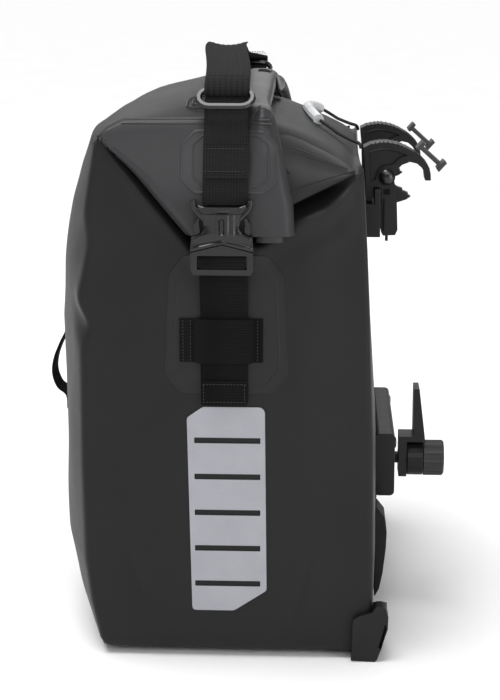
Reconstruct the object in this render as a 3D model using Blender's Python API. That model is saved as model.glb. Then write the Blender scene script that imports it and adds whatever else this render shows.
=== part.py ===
"""Roll-top pannier bag: welded fabric panels, straps with side-release buckles, two latching rack
hooks with a cord release, and a turning lower hook.

Frame: +X towards the bicycle rack, +Y along the rack (bag width), +Z up, origin at the centre of
the bag's underside. All dimensions below are in millimetres; the helpers turn them into metres.
"""

import math

import bmesh
import bpy
from mathutils import Vector

MM = 0.001
GAP = 0.35  # air left between two neighbouring pieces
FABRIC = 2.4  # welded tarpaulin with its seam allowance

# Bag shell
HALF_WIDTH = 150.0
BASE_THICK = 2.7
PANEL_FOOT = 3.1  # height where the walls start, just above the base
SIDE_BULGE = 4.0
SIDE_EDGE_Y = 148.0
SIDE_FACE_Y = SIDE_EDGE_Y + SIDE_BULGE
FRONT_EDGE = ((0, -78.0), (30, -84.0), (60, -88.0), (180, -88.0), (280, -84.0), (328, -76.5))
BACK_EDGE = ((0, 80.0), (29, 88.8), (134, 89.7), (259, 84.8), (313, 82.0), (322, 76.0))
FRONT_BULGE = ((0, 4.0), (30, 18.0), (60, 28.0), (120, 32.0), (230, 30.0), (300, 22.0), (328, 17.0))
BACK_BULGE = ((0, 1.0), (60, 4.0), (150, 4.0), (230, 1.0), (260, -1.5), (322, -2.5))
FRONT_TOP_Z = 322.0
BACK_TOP_Z = 310.0
SEAM_Z = 338.0  # where the ear's weld crosses the end of the top
CROWN_RISE = 19.0  # how far the top rises towards mid-width
ROLL_X = 15.0
ROLL_HALF_X = 13.0
ROLL_HALF_Z = 7.0
SLOPE_TOP_Z = 337.0  # the fabric behind the roll at mid-width
SLOPE_DROP = 9.0  # how much lower it is at the sides
SLOPE_SAG = 2.0

# Side fold
CREASE_TOP = (-76.5, 326.0)
CREASE_FOOT = (-20.0, 259.0)
ROLL_FOOT = (42.0, 263.0)
FOLD_TIP = (75.0, 306.0)
EAR_LIFT = 13.0  # how far the ear stands off the side at its lower end
EAR_SPAN = 60.0

# Reflective film
SLOTS = 5
FIRST_SLOT_Z = 46.4
SLOT_PITCH = 23.3
SLOT_HALF = 1.85

# Straps and buckle
WEB_WIDTH = 29.0
WEB_THICK = 2.2
WEB_X = -0.5
BUCKLE_X = -0.7
BUCKLE_Y = 169.0
BUCKLE_HALF = 4.5
BLADE_HALF = 1.7
SOCKET_HALF = 2.4
HANDLE_X = -7.0
HANDLE_WIDTH = 27.5
RING_WIDTH = 36.0
RING_BAR = 2.0
RING_TOP = (146.5, 354.0)
RING_FOOT = (156.5, 345.0)

# Upper hooks
HOOK_Y = 65.0
HOOK_HALF = 10.0
JAW_HALF = 4.0
JAW_PIVOT = (98.8, 294.0)
PIN_RADIUS = 2.2
RAIL_HALF = 82.0

# Lower hook
LOWER_HOOK_Y = -30.0
LOWER_HOOK_Z = 95.0
LOWER_RAIL_HALF = 65.0
BLADE_X = 121.3  # face of the lower hook that meets the rack's stay


# ---------------------------------------------------------------- helpers
def clear_scene():
    for obj in list(bpy.data.objects):
        bpy.data.objects.remove(obj, do_unlink=True)


def material(name, rgb, rough=0.6, metallic=0.0):
    found = bpy.data.materials.get(name)
    if found:
        return found
    made = bpy.data.materials.new(name)
    made.use_nodes = True
    shader = made.node_tree.nodes["Principled BSDF"]
    shader.inputs["Base Color"].default_value = (*rgb, 1.0)
    shader.inputs["Roughness"].default_value = rough
    shader.inputs["Metallic"].default_value = metallic
    return made


def add_mesh(name, points, faces, mat, origin=(0, 0, 0), smooth=False):
    """One closed body from points in world millimetres, its origin where asked."""
    start = Vector(origin)
    mesh = bpy.data.meshes.new(name)
    mesh.from_pydata([tuple((Vector(p) - start) * MM) for p in points], [], faces)
    work = bmesh.new()
    work.from_mesh(mesh)
    bmesh.ops.recalc_face_normals(work, faces=work.faces)
    work.to_mesh(mesh)
    work.free()
    obj = bpy.data.objects.new(name, mesh)
    obj.location = start * MM
    bpy.context.scene.collection.objects.link(obj)
    if mat:
        mesh.materials.append(mat)
    if smooth:
        mesh.shade_smooth()
        mesh.set_sharp_from_angle(angle=math.radians(35))
    return obj


def lerp_table(table, at):
    """Value at a place in a table of (place, value) pairs."""
    if at <= table[0][0]:
        return table[0][1]
    for (a, va), (b, vb) in zip(table, table[1:]):
        if at <= b:
            return va + (vb - va) * (at - a) / (b - a)
    return table[-1][1]


def skin(name, outer, inner, mat, smooth=True):
    """A sheet between two grids of the same shape."""
    rows = len(outer)
    cols = len(outer[0])
    count = rows * cols
    points = [p for row in outer for p in row] + [p for row in inner for p in row]
    faces = []

    def at(r, c):
        return r * cols + c

    for r in range(rows - 1):
        for c in range(cols - 1):
            quad = (at(r, c), at(r, c + 1), at(r + 1, c + 1), at(r + 1, c))
            faces.append(quad)
            faces.append(tuple(i + count for i in reversed(quad)))
    rim = [at(0, c) for c in range(cols)]
    rim += [at(r, cols - 1) for r in range(1, rows)]
    rim += [at(rows - 1, c) for c in range(cols - 2, -1, -1)]
    rim += [at(r, 0) for r in range(rows - 2, 0, -1)]
    for a, b in zip(rim, rim[1:] + rim[:1]):
        faces.append((b, a, a + count, b + count))
    return add_mesh(name, points, faces, mat, smooth=smooth)


def offset_skin(name, grid, offset, mat, smooth=True):
    inner = [[tuple(Vector(p) + Vector(offset)) for p in row] for row in grid]
    return skin(name, grid, inner, mat, smooth)


def loft(name, rings, mat, origin=(0, 0, 0), smooth=True, closed=False):
    """A body through rings of equal length, capped unless it closes on itself."""
    size = len(rings[0])
    points = [p for ring in rings for p in ring]
    faces = []
    last = len(rings) if closed else len(rings) - 1
    for r in range(last):
        a = r * size
        b = (r + 1) % len(rings) * size
        for i in range(size):
            j = (i + 1) % size
            faces.append((a + i, a + j, b + j, b + i))
    if not closed:
        faces.append(tuple(reversed(range(size))))
        faces.append(tuple(range((len(rings) - 1) * size, len(rings) * size)))
    return add_mesh(name, points, faces, mat, origin, smooth)


def prism(name, outline, y0, y1, mat, origin=(0, 0, 0), smooth=False):
    """An outline of (X, Z) points drawn out along Y."""
    rings = [[(x, y, z) for x, z in outline] for y in (y0, y1)]
    return loft(name, rings, mat, origin, smooth)


def prism_z(name, outline, z0, z1, mat):
    """An outline of (X, Y) points drawn out along Z."""
    return loft(name, [[(x, y, z) for x, y in outline] for z in (z0, z1)], mat, smooth=False)


def block(name, low, high, mat, origin=(0, 0, 0)):
    (x0, y0, z0), (x1, y1, z1) = low, high
    return prism(name, ((x0, z0), (x1, z0), (x1, z1), (x0, z1)), y0, y1, mat, origin)


def lathe(name, profile, axis, centre, mat, steps=24):
    """A body of revolution: profile of (along, radius) about a line through centre."""
    rings = []
    for along, radius in profile:
        ring = []
        for i in range(steps):
            turn = 2 * math.pi * i / steps
            a = radius * math.cos(turn)
            b = radius * math.sin(turn)
            if axis == "X":
                ring.append((along, centre[1] + a, centre[2] + b))
            else:
                ring.append((centre[0] + a, along, centre[2] + b))
        rings.append(ring)
    return loft(name, rings, mat, origin=centre)


def bevel(obj, width, segments=2, angle=35):
    made = obj.modifiers.new("bevel", "BEVEL")
    made.width = width * MM
    made.segments = segments
    made.limit_method = "ANGLE"
    made.angle_limit = math.radians(angle)
    return made


def hide(cutter):
    cutter.hide_render = True
    cutter.display_type = "WIRE"
    return cutter


def boolean(obj, other, operation="DIFFERENCE"):
    made = obj.modifiers.new(other.name, "BOOLEAN")
    made.operation = operation
    made.solver = "EXACT"
    made.object = hide(other)


def rounded_box_outline(x0, x1, z0, z1, radius, steps=4):
    points = []
    corners = ((x1, z1, 0), (x0, z1, 90), (x0, z0, 180), (x1, z0, 270))
    for x, z, start in corners:
        cx = x - radius if start in (0, 270) else x + radius
        cz = z - radius if start in (0, 90) else z + radius
        for i in range(steps + 1):
            turn = math.radians(start + 90 * i / steps)
            points.append((cx + radius * math.cos(turn), cz + radius * math.sin(turn)))
    return points


def tube(name, route, radius, mat, sides=6):
    """A round cord through the points of its route."""
    rings = []
    route = [Vector(p) for p in route]
    side = Vector((0, 0, 1))
    for i, p in enumerate(route):
        along = (route[min(i + 1, len(route) - 1)] - route[max(i - 1, 0)]).normalized()
        u = along.cross(side).normalized()
        v = along.cross(u)
        turns = [2 * math.pi * k / sides for k in range(sides)]
        rings.append([tuple(p + (u * math.cos(t) + v * math.sin(t)) * radius) for t in turns])
    return loft(name, rings, mat)


def smooth_route(points, steps=4):
    """Catmull-Rom points through a few given ones."""
    p = [Vector(q) for q in points]
    p = [p[0] * 2 - p[1]] + p + [p[-1] * 2 - p[-2]]
    out = []
    for i in range(1, len(p) - 2):
        for s in range(steps):
            t = s / steps
            a = p[i] * 2 + (p[i + 1] - p[i - 1]) * t
            b = (p[i - 1] * 2 - p[i] * 5 + p[i + 1] * 4 - p[i + 2]) * t * t
            c = (p[i] * 3 - p[i - 1] - p[i + 1] * 3 + p[i + 2]) * t * t * t
            out.append((a + b + c) * 0.5)
    out.append(p[-2])
    return out


def web_strip(name, route, width, thick, centre_x, mat):
    """A flat strap whose width lies along X; route is (Y, Z) points."""
    path = smooth_route([(0, y, z) for y, z in route])
    rings = []
    for i, p in enumerate(path):
        along = path[min(i + 1, len(path) - 1)] - path[max(i - 1, 0)]
        normal = Vector((0, -along.z, along.y)).normalized() * thick / 2
        left = Vector((centre_x - width / 2, 0, 0))
        right = Vector((centre_x + width / 2, 0, 0))
        ring = (p + left - normal, p + right - normal, p + right + normal, p + left + normal)
        rings.append([tuple(q) for q in ring])
    return loft(name, rings, mat, smooth=True)


# ---------------------------------------------------------------- materials
def fabric():
    return material("coated_fabric", (0.035, 0.035, 0.037), 0.55)


def webbing():
    return material("webbing", (0.02, 0.02, 0.022), 0.85)


def plastic():
    return material("black_plastic", (0.03, 0.03, 0.032), 0.4)


def dark_grey_plastic():
    return material("dark_grey_plastic", (0.1, 0.1, 0.105), 0.45)


def grey_plastic():
    return material("grey_plastic", (0.28, 0.28, 0.29), 0.5)


def reflective():
    return material("reflective_film", (0.38, 0.38, 0.41), 0.5)


# ---------------------------------------------------------------- shell shape
def across(y, power):
    return 1.0 - min(abs(y) / HALF_WIDTH, 1.0) ** power


def front_x(y, z):
    return lerp_table(FRONT_EDGE, z) - lerp_table(FRONT_BULGE, z) * across(y, 2.2)


def back_x(y, z):
    return lerp_table(BACK_EDGE, z) + lerp_table(BACK_BULGE, z) * across(y, 4.0)


def crown_z(y):
    return SEAM_Z + CROWN_RISE * across(y, 2.0)


def ear_y(z):
    """How far out the folded-down ear lies at a height."""
    share = min(max((SEAM_Z - z) / EAR_SPAN, 0.0), 1.0)
    return HALF_WIDTH + EAR_LIFT * math.sin(math.pi / 2 * share)


def fold_line_z(x):
    """Top edge of a side panel: down the front crease, under the ear, up to the rear fold."""
    line = (CREASE_TOP, CREASE_FOOT, ROLL_FOOT, (60.0, 280.0), FOLD_TIP)
    return lerp_table(line, x)


WIDTH_STEPS = [-150, -135, -110, -75, -40, 0, 40, 75, 110, 135, 150]


def front_panel():
    rows = [PANEL_FOOT, 30, 60, 120, 180, 230, 280, FRONT_TOP_Z]
    grid = [[(front_x(y, z), y, z) for y in WIDTH_STEPS] for z in rows]
    return offset_skin("front_panel", grid, (FABRIC, 0, 0), fabric())


def back_panel():
    rows = [PANEL_FOOT, 29, 60, 134, 150, 230, 260, 290, BACK_TOP_Z]
    grid = [[(back_x(y, z), y, z) for y in WIDTH_STEPS] for z in rows]
    return offset_skin("back_panel", grid, (-FABRIC, 0, 0), fabric())


def back_board():
    board = block("back_board", (71.0, -128, 12), (74.0, 128, 286), plastic())
    bevel(board, 1.0, 1)
    return board


def base_panel():
    outline = rounded_box_outline(-77.5, 78.6, -149.5, 149.5, 8.0, 3)
    return prism_z("base_panel", outline, 0.0, BASE_THICK, fabric())


def side_panel(name, side):
    """Side panel up to its fold line; its first and last columns meet the front and the back."""
    columns = [(-74, 0.0), (-60, 0.75)] + [(x, 1.0) for x in (-42, -20, 0, 20, 41)] + [(58, 0.75), (74, 0.0)]
    rows = ((0.0, 0.2), (0.08, 1.0), (0.3, 1.0), (0.6, 1.0), (0.85, 1.0), (1.0, 0.35))
    grid = []
    for share, rise in rows:
        row = []
        for x, lift in columns:
            z = PANEL_FOOT + (fold_line_z(x) - PANEL_FOOT) * share
            if x == columns[0][0]:
                x = front_x(HALF_WIDTH, z) + FABRIC + 0.6
            if x == columns[-1][0]:
                x = back_x(HALF_WIDTH, z) - FABRIC - 2.0
            row.append((x, side * (SIDE_EDGE_Y + SIDE_BULGE * lift * rise), z))
        grid.append(row)
    return offset_skin(name, grid, (0, -side * FABRIC, 0), fabric())


def top_front_panel():
    rows = [0.0, 0.12, 0.3, 0.55, 0.8, 1.0]
    grid = []
    for share in rows:
        row = []
        for y in WIDTH_STEPS:
            start = front_x(y, FRONT_TOP_Z) + 0.5
            low = FRONT_TOP_Z + 3.2
            high = crown_z(y) - 1.0
            x = start + (ROLL_X - ROLL_HALF_X - 1.5 - start) * share
            power = 3.0 + 4.0 * (abs(y) / HALF_WIDTH) ** 4
            row.append((x, y, low + (high - low) * (1.0 - (1.0 - share) ** power)))
        grid.append(row)
    return offset_skin("top_front_panel", grid, (0.0, 0, -FABRIC), fabric())


def slope_z(x, y):
    """Height of the fabric behind the roll, falling to the rear shoulder."""
    start = ROLL_X + ROLL_HALF_X + 1.5
    end = back_x(y, BACK_TOP_Z)
    share = (x - start) / (end - start)
    high = SLOPE_TOP_Z - SLOPE_DROP * (abs(y) / HALF_WIDTH) ** 1.6
    low = BACK_TOP_Z + 3.0
    return high + (low - high) * share - SLOPE_SAG * math.sin(math.pi * share)


def top_back_panel():
    grid = []
    for share in (0.0, 0.25, 0.5, 0.75, 1.0):
        row = []
        for y in WIDTH_STEPS:
            start = ROLL_X + ROLL_HALF_X + 1.5
            x = start + (back_x(y, BACK_TOP_Z) - start) * share
            row.append((x, y, slope_z(x, y)))
        grid.append(row)
    return offset_skin("top_back_panel", grid, (0, 0, -FABRIC), fabric())


def closure_roll():
    """Flattened roll lying across the top, its two ends folded down the sides."""
    path = [
        (30.0, 158.0, 266.0, 12.0, 5.2),
        (26.5, 158.5, 292.0, 10.5, 5.2),
        (24.2, 159.0, 320.0, 7.4, 5.0),
        (23.6, 156.5, 336.0, 7.4, 4.8),
        (22.4, 147.0, 342.5, 7.8, 5.4),
    ]
    stations = [(x, -y, z, w, h) for x, y, z, w, h in path]
    for y in (-110, -60, 0, 60, 110):
        stations.append((ROLL_X, y, crown_z(y) - 6.0, ROLL_HALF_X, ROLL_HALF_Z))
    stations += list(reversed(path))
    rings = []
    for i, (x, y, z, half_width, half_thick) in enumerate(stations):
        before = stations[max(i - 1, 0)]
        after = stations[min(i + 1, len(stations) - 1)]
        normal = Vector((0, -(after[2] - before[2]), after[1] - before[1])).normalized()
        ring = []
        for k in range(12):
            turn = 2 * math.pi * k / 12
            shift = Vector((half_width * math.cos(turn), 0, 0)) + normal * half_thick * math.sin(turn)
            ring.append(tuple(Vector((x, y, z)) + shift))
        rings.append(ring)
    return loft("closure_roll", rings, fabric())


def ear(name, side):
    """The flap of doubled fabric folded down over a side, from the weld line to its foot."""
    rows = (
        (336.5, -71.0, 14.8),
        (325.0, -68.0, 15.2),
        (310.0, -58.0, 15.6),
        (290.0, -42.0, 15.2),
        (265.0, -22.0, 16.5),
    )
    columns = ((0.0, 0.35), (0.25, 0.8), (0.5, 1.0), (0.75, 1.0), (1.0, 1.0))
    grid = []
    for z, left, right in rows:
        row = []
        for share, out in columns:
            y = SIDE_FACE_Y + 2.0 + (ear_y(z) - SIDE_FACE_Y - 2.0) * out
            row.append((left + (right - left) * share, side * max(y, HALF_WIDTH + 2.2), z))
        grid.append(row)
    return offset_skin(name, grid, (0, -side * 1.6, 0), fabric())


def rear_fold(name, side):
    """Fabric between the end of the roll and the rear top corner."""
    rows = (
        ((32.0, 333.0, 152.4), (53.0, 324.0, 152.4), (75.0, 314.0, 152.2)),
        ((36.0, 312.0, 154.5), (56.0, 310.0, 153.5), (75.5, 309.0, 152.2)),
        ((42.0, 290.0, 156.5), (59.0, 297.5, 154.8), (76.0, 305.5, 152.2)),
    )
    grid = [[(x, side * y, z) for x, z, y in row] for row in rows]
    return offset_skin(name, grid, (0, -side * 1.5, 0), fabric())


def roll_tab():
    """Short stitched tab that hangs over the rear of the roll."""
    route = ((26.0, 357.5), (30.0, 353.0), (31.5, 347.0), (34.5, 344.5))
    section = ((0.5, -12, 0.6), (0.5, 12, 0.6), (2.0, 12, 1.8), (2.0, -12, 1.8))
    rings = []
    for p in smooth_route([(x, 0, z) for x, z in route], 2):
        rings.append([(p.x + dx, y, p.z + dz) for dx, y, dz in section])
    return loft("roll_tab", rings, webbing())


def octagon_rows(z0, z1, x0, x1, cut):
    """Rows of an octagon, each as (height, left, right)."""
    return ((z1, x0 + cut, x1 - cut), (z1 - cut, x0, x1), (z0 + cut, x0, x1), (z0, x0 + cut, x1 - cut))


def ear_patch(name, side):
    """Welded octagon that backs the strap on the ear."""
    grid = []
    for z, x0, x1 in octagon_rows(294, 330, -29, 30, 10):
        y = max(ear_y(z) + 0.9, HALF_WIDTH + 4.6)
        grid.append([(x0, side * y, z), (0, side * y, z), (min(x1, 14.9), side * y, z)])
    return offset_skin(name, grid, (0, -side * 0.55, 0), fabric(), smooth=False)


def strap_patch(name, side):
    """Welded octagon that backs the lower webbing."""
    outline = (
        (-28, 170), (28, 170), (38, 182), (35, 243), (26, 255), (-25, 255), (-34, 243), (-37, 182),
    )
    y0 = side * (SIDE_FACE_Y + GAP)
    return prism(name, outline, y0, y0 + side * 0.5, fabric())


def reflector(name, side):
    """Reflective film with five slots and clipped corners."""
    outline = (
        (-24, 154), (-14, 161), (21, 161), (24, 158), (25.5, 42), (5, 28.5), (-20, 28.5), (-21.5, 30),
    )
    y0 = side * (SIDE_FACE_Y + GAP)
    film = prism(name, outline, y0, y0 + side * 0.6, reflective())
    for i in range(SLOTS):
        z = FIRST_SLOT_Z + SLOT_PITCH * i
        low = (-19.5, min(y0, y0 + side) - 1, z - SLOT_HALF)
        high = (21.5, max(y0, y0 + side) + 1, z + SLOT_HALF)
        boolean(film, block(f"{name}_slot_{i}", low, high, None))
    return film


# ---------------------------------------------------------------- straps
def carry_handle():
    """Strap over the top from one ring to the other."""
    route = [(-144.5, 357.5), (-125, 365), (-80, 371.5), (-40, 374.5), (0, 375.5)]
    route += [(-y, z) for y, z in reversed(route[:-1])]
    return web_strip("carry_handle", route, HANDLE_WIDTH, WEB_THICK, HANDLE_X, webbing())


def ring(name, side):
    """Oval ring that ties the handle to the strap; it swings about its upper bar."""
    (y0, z0), (y1, z1) = RING_TOP, RING_FOOT
    down = Vector((0, side * (y1 - y0), z1 - z0))
    tall = down.length
    down.normalize()
    half = RING_WIDTH / 2 - RING_BAR
    end = tall / 2
    centre_x = 0.5
    path = []
    for i in range(9):
        turn = math.pi * i / 8
        path.append((half - end + end * math.sin(turn), end - end * math.cos(turn)))
    path += [(-x, tall - d) for x, d in path]
    out = down.cross(Vector((1, 0, 0)))
    rings = []
    count = len(path)
    for i, (x, d) in enumerate(path):
        bx, bd = path[i - 1]
        ax, ad = path[(i + 1) % count]
        along = (Vector((ax, 0, 0)) + down * ad - Vector((bx, 0, 0)) - down * bd).normalized()
        u = along.cross(out).normalized()
        centre = Vector((centre_x + x, side * y0, z0)) + down * d
        turns = [2 * math.pi * k / 6 for k in range(6)]
        rings.append([tuple(centre + (u * math.cos(t) + out * math.sin(t)) * RING_BAR) for t in turns])
    return loft(name, rings, plastic(), origin=(centre_x, side * y0, z0), closed=True)


def ear_strap(name, side):
    """Strap from below the ring down to the buckle, clear of the ear."""
    route = []
    for z in (341.0, 330.0, 315.0, 300.0, 292.0, 288.6):
        route.append((side * (ear_y(z) + 2.6 + (1.7 if z > 325 else 0.0)), z))
    return web_strip(name, route, WEB_WIDTH, WEB_THICK, WEB_X, webbing())


def side_webbing(name, side):
    """Strap from the buckle's frame down to its sewn end on the side."""
    face = SIDE_FACE_Y + 2.6
    outwards = (
        (BUCKLE_Y - 6.4, 246.4), (face + 5.5, 233.0), (face + 0.6, 221.0),
        (face, 210.0), (face, 185.0), (face, 163.0),
    )
    route = [(side * y, z) for y, z in outwards]
    return web_strip(name, route, WEB_WIDTH, WEB_THICK, WEB_X, webbing())


def keeper(name, side):
    """Elastic band sewn down at both ends over the webbing."""
    near = SIDE_FACE_Y + 1.3
    far = near + 3.0
    under = [(-28, near), (-18, near), (-16.5, far), (15.5, far), (17, near), (23, near)]
    over = [(23, near), (17.8, near), (16.3, far), (-17.3, far), (-18.8, near), (-28, near)]
    outline = under + [(x, y + 1.6) for x, y in over]
    return prism_z(name, [(x, side * y) for x, y in outline], 189, 217, webbing())


def light_loop():
    """Webbing loop on the front for a clip-on lamp."""
    front = front_x(0, 150) - 1.2
    route = [(front - 0.9, 186), (front - 1.0, 178), (front - 5.0, 170), (front - 10.0, 158),
             (front - 11.5, 147), (front - 8.0, 137), (front - 1.2, 131), (front - 1.0, 122)]
    path = smooth_route([(x, 0, z) for x, z in route], 3)
    rings = []
    for i, p in enumerate(path):
        along = path[min(i + 1, len(path) - 1)] - path[max(i - 1, 0)]
        normal = Vector((along.z, 0, -along.x)).normalized() * 0.9
        rings.append([tuple(p + Vector((0, y, 0)) + normal * s) for y, s in
                      ((-10, -1), (10, -1), (10, 1), (-10, 1))])
    return loft("light_loop", rings, webbing())


# ---------------------------------------------------------------- buckle
def mirrored(half):
    """A full outline about the buckle's middle from the half on its +X side."""
    return [(BUCKLE_X + x, z) for x, z in half] + [(BUCKLE_X - x, z) for x, z in reversed(half)]


def buckle_socket(name, side):
    """Upper half: waisted front and back plates that hang from the ear strap by two horns."""
    y = side * BUCKLE_Y
    half = [(15.0, 287.2), (15.4, 291.0), (17.4, 291.2), (18.0, 287.5), (14.0, 283.0), (11.2, 279.4),
            (10.0, 275.0), (10.6, 271.6), (13.2, 270.6), (18.0, 269.6), (18.9, 260.8), (0.1, 265.4)]
    body = prism(name, mirrored(half), y - BUCKLE_HALF, y + BUCKLE_HALF, plastic())
    low = (BUCKLE_X - 17.3, y - SOCKET_HALF, 250.0)
    high = (BUCKLE_X + 17.3, y + SOCKET_HALF, 283.4)
    boolean(body, block(name + "_mouth", low, high, None))
    return body


def buckle_blade(name, side):
    """Lower half: webbing frame with the centre prong that guides it into the socket."""
    y = side * BUCKLE_Y
    half = [(0.1, 264.8), (18.6, 260.2), (18.6, 250.0), (17.2, 246.8)]
    frame = prism(name, mirrored(half), y - 4.0, y + 4.0, plastic())
    prong = mirrored([(3.2, 278.0), (4.6, 276.0), (4.6, 262.0)])
    boolean(frame, prism(name + "_prong", prong, y - BLADE_HALF, y + BLADE_HALF, None), "UNION")
    low = (BUCKLE_X - 14.8, y - 10.0, 250.2)
    high = (BUCKLE_X + 14.8, y + 10.0, 258.4)
    boolean(frame, block(name + "_window", low, high, None))
    return frame


def squeeze_arm(name, side, hand):
    """Sprung side arm of the blade; hand is the X side it is on."""
    y = side * BUCKLE_Y
    outline = (
        (8.6, 263.3), (12.6, 262.5), (15.4, 267.6), (16.9, 273.0), (16.7, 277.6),
        (14.8, 281.0), (12.8, 281.0), (13.4, 277.0), (12.8, 272.4), (10.4, 268.6),
    )
    turned = [(BUCKLE_X + hand * x, z) for x, z in outline]
    pivot = (BUCKLE_X + hand * 10.5, y, 263.4)
    return prism(name, turned, y - BLADE_HALF, y + BLADE_HALF, plastic(), origin=pivot)


# ---------------------------------------------------------------- upper hooks
def top_rail():
    outline = [(85.2, 256.0), (95.2, 256.0), (95.2, 277.0), (94.8, 277.4), (94.8, 286.4), (91.4, 286.4),
               (91.4, 277.0), (85.2, 277.0)]
    return prism("top_rail", outline, -RAIL_HALF, RAIL_HALF, plastic())


HOOK_OUTLINE = [
    (86.0, 278.2), (85.2, 300.0), (84.0, 312.6), (88.0, 314.6), (94.3, 315.8), (99.4, 315.9),
    (105.8, 314.7), (112.2, 312.1), (117.3, 309.2), (121.2, 306.0), (124.1, 303.0), (126.1, 299.8),
    (127.0, 296.0), (127.2, 291.8), (123.6, 291.8), (123.0, 297.2), (121.0, 300.1), (118.0, 302.6),
    (113.6, 303.6), (108.5, 301.6), (104.9, 297.6), (103.7, 292.6), (104.7, 286.9), (105.8, 277.0),
    (106.5, 259.7), (105.0, 256.4), (97.2, 256.0), (96.0, 258.0), (95.9, 287.3), (90.4, 287.3),
    (90.2, 278.2),
]


def hook_body(name, side):
    """Plastic hook that hangs on the rack's tube and slides on the top rail."""
    y = side * HOOK_Y
    body = prism(name, HOOK_OUTLINE, y - HOOK_HALF, y + HOOK_HALF, plastic())
    slot = [(93.2, 299.6), (93.2, 288.6), (97.3, 284.6), (97.3, 264.0), (125.0, 264.0), (112.0, 299.6)]
    boolean(body, prism(name + "_slot", slot, y - JAW_HALF - 0.4, y + JAW_HALF + 0.4, None))
    x, z = JAW_PIVOT
    hole = [(y - 12, PIN_RADIUS + 0.4), (y + 12, PIN_RADIUS + 0.4)]
    boolean(body, lathe(name + "_hole", hole, "Y", (x, 0, z), None, steps=12))
    recess = [
        (88.0, 309.6), (93.5, 311.4), (99.6, 311.7), (105.6, 310.4), (112.0, 307.6), (107.0, 305.6),
        (102.6, 301.6), (97.0, 300.4), (93.2, 297.0), (92.2, 292.5), (89.4, 290.8),
    ]
    for k in (-1, 1):
        face = y + k * HOOK_HALF
        cut = prism(f"{name}_recess_{k + 1}", recess, face - 2.0, face + 2.0, None)
        boolean(body, cut)
    return body


def jaw(name, side):
    """Toothed catch that closes the hook's mouth from below."""
    y = side * HOOK_Y
    teeth = [(105.9, 286.8), (109.4, 285.6), (109.0, 284.4), (113.1, 282.8), (112.5, 281.7), (114.7, 280.7)]
    outline = [(95.0, 296.0), (97.0, 298.0), (100.6, 297.8), (102.6, 295.5), (103.0, 289.0)] + teeth
    outline += [(111.9, 278.7), (106.1, 276.8), (103.5, 281.5), (99.6, 288.4), (95.2, 291.2)]
    x, z = JAW_PIVOT
    body = prism(name, outline, y - JAW_HALF, y + JAW_HALF, plastic(), origin=(x, y, z))
    hole = [(y - 12, PIN_RADIUS + 0.3), (y + 12, PIN_RADIUS + 0.3)]
    boolean(body, lathe(name + "_hole", hole, "Y", (x, 0, z), None, steps=12))
    return body


def jaw_pin(name, side):
    """Pin with domed heads that the jaw turns about."""
    y = side * HOOK_Y
    x, z = JAW_PIVOT
    out = HOOK_HALF + 0.3
    head = [(0.0, 4.8), (1.0, 4.7), (2.0, 3.7), (2.6, 2.0), (2.8, 0.3)]
    profile = [(y - out - along, r) for along, r in reversed(head)]
    profile += [(y - out, PIN_RADIUS), (y + out, PIN_RADIUS)]
    profile += [(y + out + along, r) for along, r in head]
    return lathe(name, profile, "Y", (x, y, z), plastic(), steps=16)


def tube_insert(name, side):
    """Grey liner for thinner rack tubes, parked on the back of the hook's arc."""
    y = side * HOOK_Y
    start = Vector((120.2, 312.9))
    end = Vector((133.9, 300.6))
    along = (end - start).normalized()
    cross = Vector((-along.y, along.x))
    thick = 1.2

    def at(a, c):
        p = start + along * a + cross * c
        return (p.x, p.y)

    length = (end - start).length
    web = length - thick
    outline = [at(-thick, -2.6), at(thick, -2.6), at(thick, -thick), at(web, -thick), at(web, -3.4)]
    outline += [at(length + thick, -3.8), at(length + thick, 3.8), at(web, 3.6)]
    outline += [at(web, thick), at(thick, thick), at(thick, 3.6), at(-thick, 3.4)]
    return prism(name, outline, y - 9.0, y + 9.0, grey_plastic())


def pull_grip():
    """Small tube on the release cords, bowed away from the hooks."""
    half = [(55.0, 46.0, 327.6), (50.5, 28.0, 330.6)]
    route = [(x, -y, z) for x, y, z in half] + [(47.6, 0.0, 332.2)] + list(reversed(half))
    return tube("pull_grip", smooth_route(route, 3), 3.6, grey_plastic(), sides=10)


def pull_cord(name, side):
    """Release cord from the grip to the back of a hook."""
    route = [(56.2, 47.2, 327.2), (60.5, 50.5, 324.6), (68.0, 54.5, 319.6), (76.0, 59.0, 316.0)]
    route += [(81.2, 62.0, 314.0), (82.6, 63.4, 311.0)]
    points = [(x, side * y, z) for x, y, z in route]
    return tube(name, smooth_route(points, 4), 1.1, webbing(), sides=6)


# ---------------------------------------------------------------- lower hook
def lower_rail():
    outline = rounded_box_outline(94.4, 108.0, 78.0, 121.0, 3.0, 3)
    rail = prism("lower_rail", outline, -LOWER_RAIL_HALF, LOWER_RAIL_HALF, plastic())
    z = LOWER_HOOK_Z
    boolean(rail, block("lower_rail_mouth", (101.0, -52, z - 4.4), (112.0, 52, z + 4.4), None))
    boolean(rail, block("lower_rail_channel", (97.4, -52, z - 8.4), (102.6, 52, z + 8.4), None))
    return rail


def lower_hook_bolt():
    """Bolt whose head runs in the rail's channel."""
    profile = [(98.2, 7.6), (101.8, 7.6), (102.0, 4.0), (111.2, 4.0), (111.3, 3.0), (138.0, 3.0)]
    return lathe("lower_hook_bolt", profile, "X", (108.0, LOWER_HOOK_Y, LOWER_HOOK_Z), plastic(), steps=16)


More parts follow.
